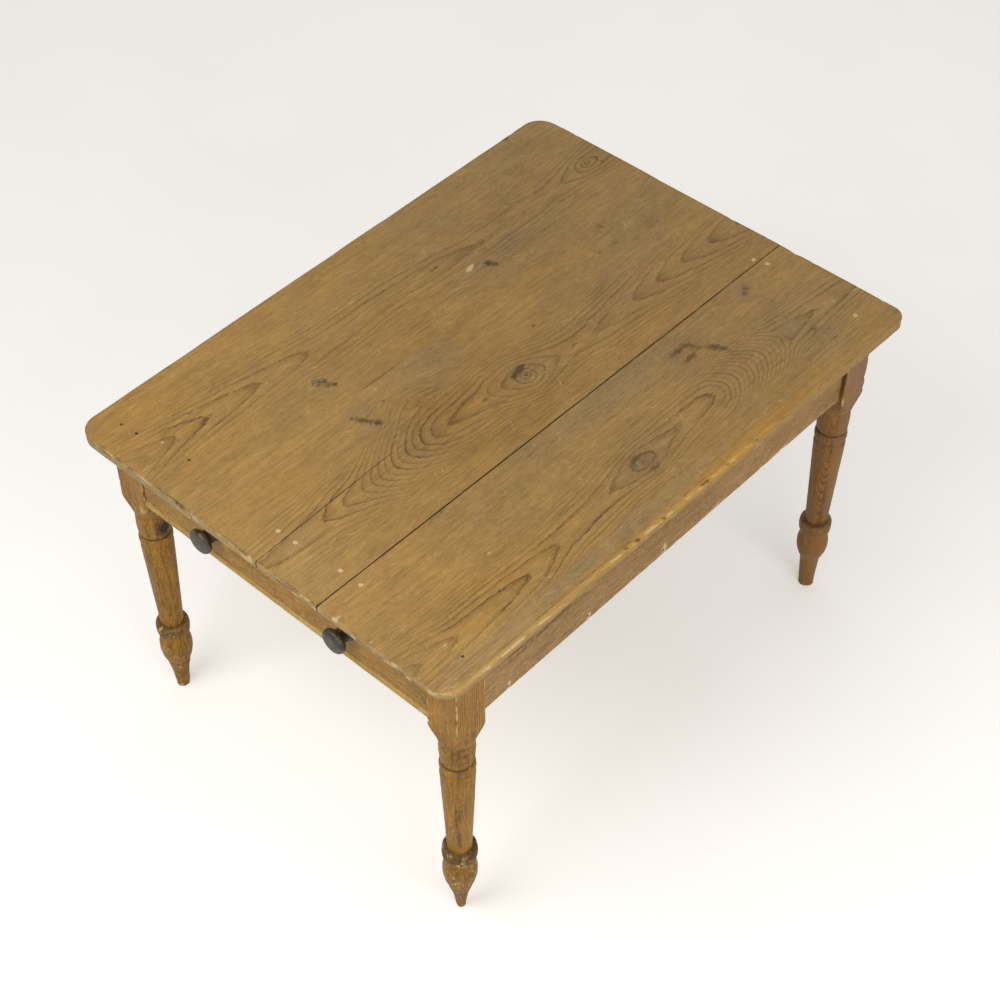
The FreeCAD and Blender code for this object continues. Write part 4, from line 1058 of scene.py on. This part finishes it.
plank_piece("front_bottom_rail_worn", "front_bottom_rail", "table", "rail_pine", RAIL_PINE_X, X,
            (-CROSS_RAIL_END_X, BOTTOM_RAIL_FACE_Y, RAIL_LOW),
            (CROSS_RAIL_END_X, -RAIL_END_Y, BOTTOM_RAIL_HIGH),
            (-520, 480), 4.5, 231, edge=1.0, tone=0.58, strength=0.4,
            light=[(335, 572, 12, 6, 0.7, 30), (70, 573, 60, 7, 0.5), (-320, 574, 25, 5, 0.5)])
plank_piece("drawer_front_worn", "drawer_front", "drawer", "drawer_front_pine", FRONT_PINE, X,
            (-DRAWER_FRONT_END_X, DRAWER_FACE_Y, DRAWER_FRONT_ZS[0]),
            (DRAWER_FRONT_END_X, DRAWER_FRONT_BACK_Y, DRAWER_FRONT_ZS[1]),
            (-500, 600), 6.0, 241, edge=1.0, strength=0.4,
            light=[(-300, 640, 40, 34, 0.44), (-250, 655, 18, 12, 0.4), (60, 630, 60, 30, 0.14)],
            dark=[(-210, 640, 30, 30, 0.1), (330, 640, 10, 40, 0.15), (-335, 640, 10, 50, 0.2)])


# Knobs

# Distance from the drawer front, and radius
KNOB_STEPS = [
    (0, 18), (1.2, 18.1), (2.6, 16.6), (4, 14.6), (6, 14.1), (11, 14), (15, 14.2), (16.6, 15.2),
    (17.6, 16.8), (18.4, 18.8), (19.2, 20.4), (20.2, 22.2), (21.6, 23.7), (23.6, 24.7), (26, 25),
    (28.4, 24.7), (30.4, 23.8), (32, 22.2), (33.2, 19.8), (34.1, 16), (34.6, 11), (34.9, 6), (35, 2)]
KNOB_SIDES = 48
KNOB_RIM = 25.0


def knob_piece(side, sign, seed):
    """A turned knob with small chips and a rubbed rim."""
    turns = np.linspace(0, 2 * math.pi, KNOB_SIDES + 1)[:-1]
    heights, radii = np.array(KNOB_STEPS, float).T
    t, h = [grid.ravel() for grid in np.meshgrid(turns, heights)]
    r = np.repeat(radii, KNOB_SIDES)
    field = noise_field(np.stack([r * np.cos(t), h, r * np.sin(t)], 1), seed)
    r = r * (1 + 0.012 * field(0, 12, 12, 12)) - 0.3 * smooth(0.4, 0.8, field(1, 7, 7, 7))
    points = np.stack([sign * KNOB_X + r * np.cos(t), DRAWER_FACE_Y - h, KNOB_Z + r * np.sin(t)], 1)
    marks = np.full((len(t), 4), (0.0, 0.0, 0.5, 0.5))
    marks[:, 1] = 0.55 * bell(h, KNOB_RIM, 4)
    piece("knob_turned_" + side, "drawer_knob_" + side, "drawer", "knob_dark", KNOB, points,
          tube(len(heights), KNOB_SIDES), marks=marks)


knob_piece("left", -1, 301)
knob_piece("right", 1, 311)


# Fillings and nail heads as low, uneven caps

CAP_SIDES = 18
FILLED_NAILS = [
    (-8.0, -540.5), (31.5, -539.5), (130.6, -532.5), (176.3, -532.0), (150.8, 542.5), (176.8, 551.0),
    (385.0, 542.5)]
FILLING_RADIUS = 4.2
FILLING_RISE = 0.25
RUNNER_NAIL_YS = [-433.0, -230.75, -28.5]
RUNNER_NAIL_Z = 576.0
NAIL_HEAD_RADIUS = 2.9
NAIL_HEAD_RISE = 0.3
CAP_SEAT = 0.1


def cap(points, faces, place, out, across, radius, rise, seed):
    """A shallow uneven disc on a face."""
    place, out, across = np.array(place, float), np.array(out, float), np.array(across, float)
    other = np.cross(out, across)
    turns = 2 * math.pi * np.arange(CAP_SIDES) / CAP_SIDES
    circle = np.stack([np.cos(turns), np.sin(turns), 0 * turns], 1)
    uneven = noise(place + 10 * circle, (7, 7, 7), seed)
    spokes = circle @ [across, other, out]
    rim = None
    for share, lift in ((1.0, -0.6), (0.97, 0.3), (0.7, 0.85)):
        ring = np.arange(CAP_SIDES) + len(points)
        sizes = (radius * share * (1 + 0.26 * uneven))[:, None]
        points.extend(place + sizes * spokes + lift * rise * out)
        faces += [ring[::-1].tolist()] if rim is None else band_faces(rim, ring)
        rim = ring
    faces += [[a, b, len(points)] for a, b in zip(rim, np.roll(rim, -1))]
    points.append(place + rise * out)


points, faces = [], []
for i, (x, y) in enumerate(FILLED_NAILS):
    cap(points, faces, (x, y, HEIGHT - CAP_SEAT), (0, 0, 1), (1, 0, 0), FILLING_RADIUS, FILLING_RISE, 401 + i)
piece("nail_fillings_worn", "nail_hole_fillings", "table", "filler", FILLER, np.array(points), faces)
points, faces = [], []
for i, y in enumerate(RUNNER_NAIL_YS):
    for sign in (-1, 1):
        cap(points, faces, (sign * (RAIL_OUTER_X - CAP_SEAT), y, RUNNER_NAIL_Z), (sign, 0, 0), (0, 1, 0),
            NAIL_HEAD_RADIUS, NAIL_HEAD_RISE, 421 + 2 * i)
piece("runner_nail_heads", "runner_nails", "table", "nail_iron", IRON, np.array(points), faces)


# Nodes that keep their own shape

SIDES = ("left", "right")
PLAIN = {"front_top_rail": STRIP_X, "drawer_back": LINING_X}
PLAIN |= {"drawer_stop_" + side: STRIP_X for side in SIDES}
PLAIN |= {"drawer_side_" + side: LINING_Y for side in SIDES}
PLAIN |= {"drawer_bottom_board_" + place: LINING_X for place in ("front", "middle", "back")}
PLAIN |= {strip + side: STRIP_Y for strip in ("drawer_runner_", "drawer_guide_", "kicker_") for side in SIDES}
PLAIN |= {nails: IRON for nails in ("top_nails", "guide_nails", "drawer_bottom_nails")}
for node, material in PLAIN.items():
    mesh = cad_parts[node].data
    mesh.materials.clear()
    mesh.materials.append(material)


# Camera, floor and light

LENS = 71.673
SENSOR = 36.0
CAMERA_PLACE = (1.753678, -1.930919, 3.172090)
AZIMUTH, ELEVATION, ROLL = (math.radians(a) for a in (42.3160, 46.8546, 0.0384))
FLOOR_HALF = 12
FLOOR_GLOW = 0.35
SKY_COLOUR = (1.0, 0.99, 0.97, 1.0)
SKY_LEVEL = 0.48
BACKDROP_LEVEL = 0.82


def stand(name, data, place, back, roll=0.0):
    """Adds a camera or lamp at a place, with its back towards a direction."""
    back = np.array(back) / np.linalg.norm(back)
    right = np.cross([0, 0, 1], back)
    right /= np.linalg.norm(right)
    up = np.cross(back, right)
    c, s = math.cos(roll), math.sin(roll)
    axes = np.stack([c * right + s * up, c * up - s * right, back, place], 1)
    return show(name, data, Matrix(axes.tolist() + [[0, 0, 0, 1]]))


def soft_box(name, place, target, size, power):
    lamp = bpy.data.lights.new(name, "AREA")
    lamp.shape = "SQUARE"
    lamp.size = size
    lamp.energy = power
    stand(name, lamp, place, np.subtract(place, target))


lens = bpy.data.cameras.new("camera")
lens.lens = LENS
lens.sensor_width = SENSOR
level_part = math.cos(ELEVATION)
away = (math.sin(AZIMUTH) * level_part, -math.cos(AZIMUTH) * level_part, math.sin(ELEVATION))
bpy.context.scene.camera = stand("camera", lens, CAMERA_PLACE, away, ROLL)

n = Nodes(bpy.data.materials.new("floor"))
cloud = n.noise(n.place(), (400, 400, 400), 4.0)
colour = n.mix(cloud, srgb(238, 236, 232), srgb(244, 242, 239))
glow = n.times(n.add("LightPath").outputs["Is Camera Ray"], FLOOR_GLOW)
n.put_all(n.tree.nodes["Principled BSDF"], {
    "Base Color": colour, "Roughness": 0.8, "Emission Color": colour, "Emission Strength": glow})
floor_mesh = bpy.data.meshes.new("floor")
corners = [(sx * FLOOR_HALF, sy * FLOOR_HALF, 0) for sx, sy in ((-1, -1), (1, -1), (1, 1), (-1, 1))]
floor_mesh.from_pydata(corners, [], [(0, 1, 2, 3)])
floor_mesh.materials.append(n.owner)
floor = show("floor", floor_mesh)

# The world lights the table at one level, and the camera and gloss see it paler
n = Nodes(bpy.data.worlds.new("world"))
rays = n.add("LightPath").outputs
seen = n.math("MAXIMUM", rays["Is Camera Ray"], rays["Is Glossy Ray"])
seen = n.math("MAXIMUM", seen, rays["Is Transmission Ray"])
level = n.math("MULTIPLY_ADD", seen, BACKDROP_LEVEL - SKY_LEVEL, SKY_LEVEL)
n.put_all(n.tree.nodes["Background"], {"Color": SKY_COLOUR, "Strength": level})
bpy.context.scene.world = n.owner

soft_box("key", (-0.2, -1.75, 2.45), (0, -0.3, 0.7), 1.6, 30)
soft_box("fill", (3.0, -0.8, 2.0), (0, 0, 0.5), 2.4, 40)

bpy.context.scene.view_settings.view_transform = "Standard"
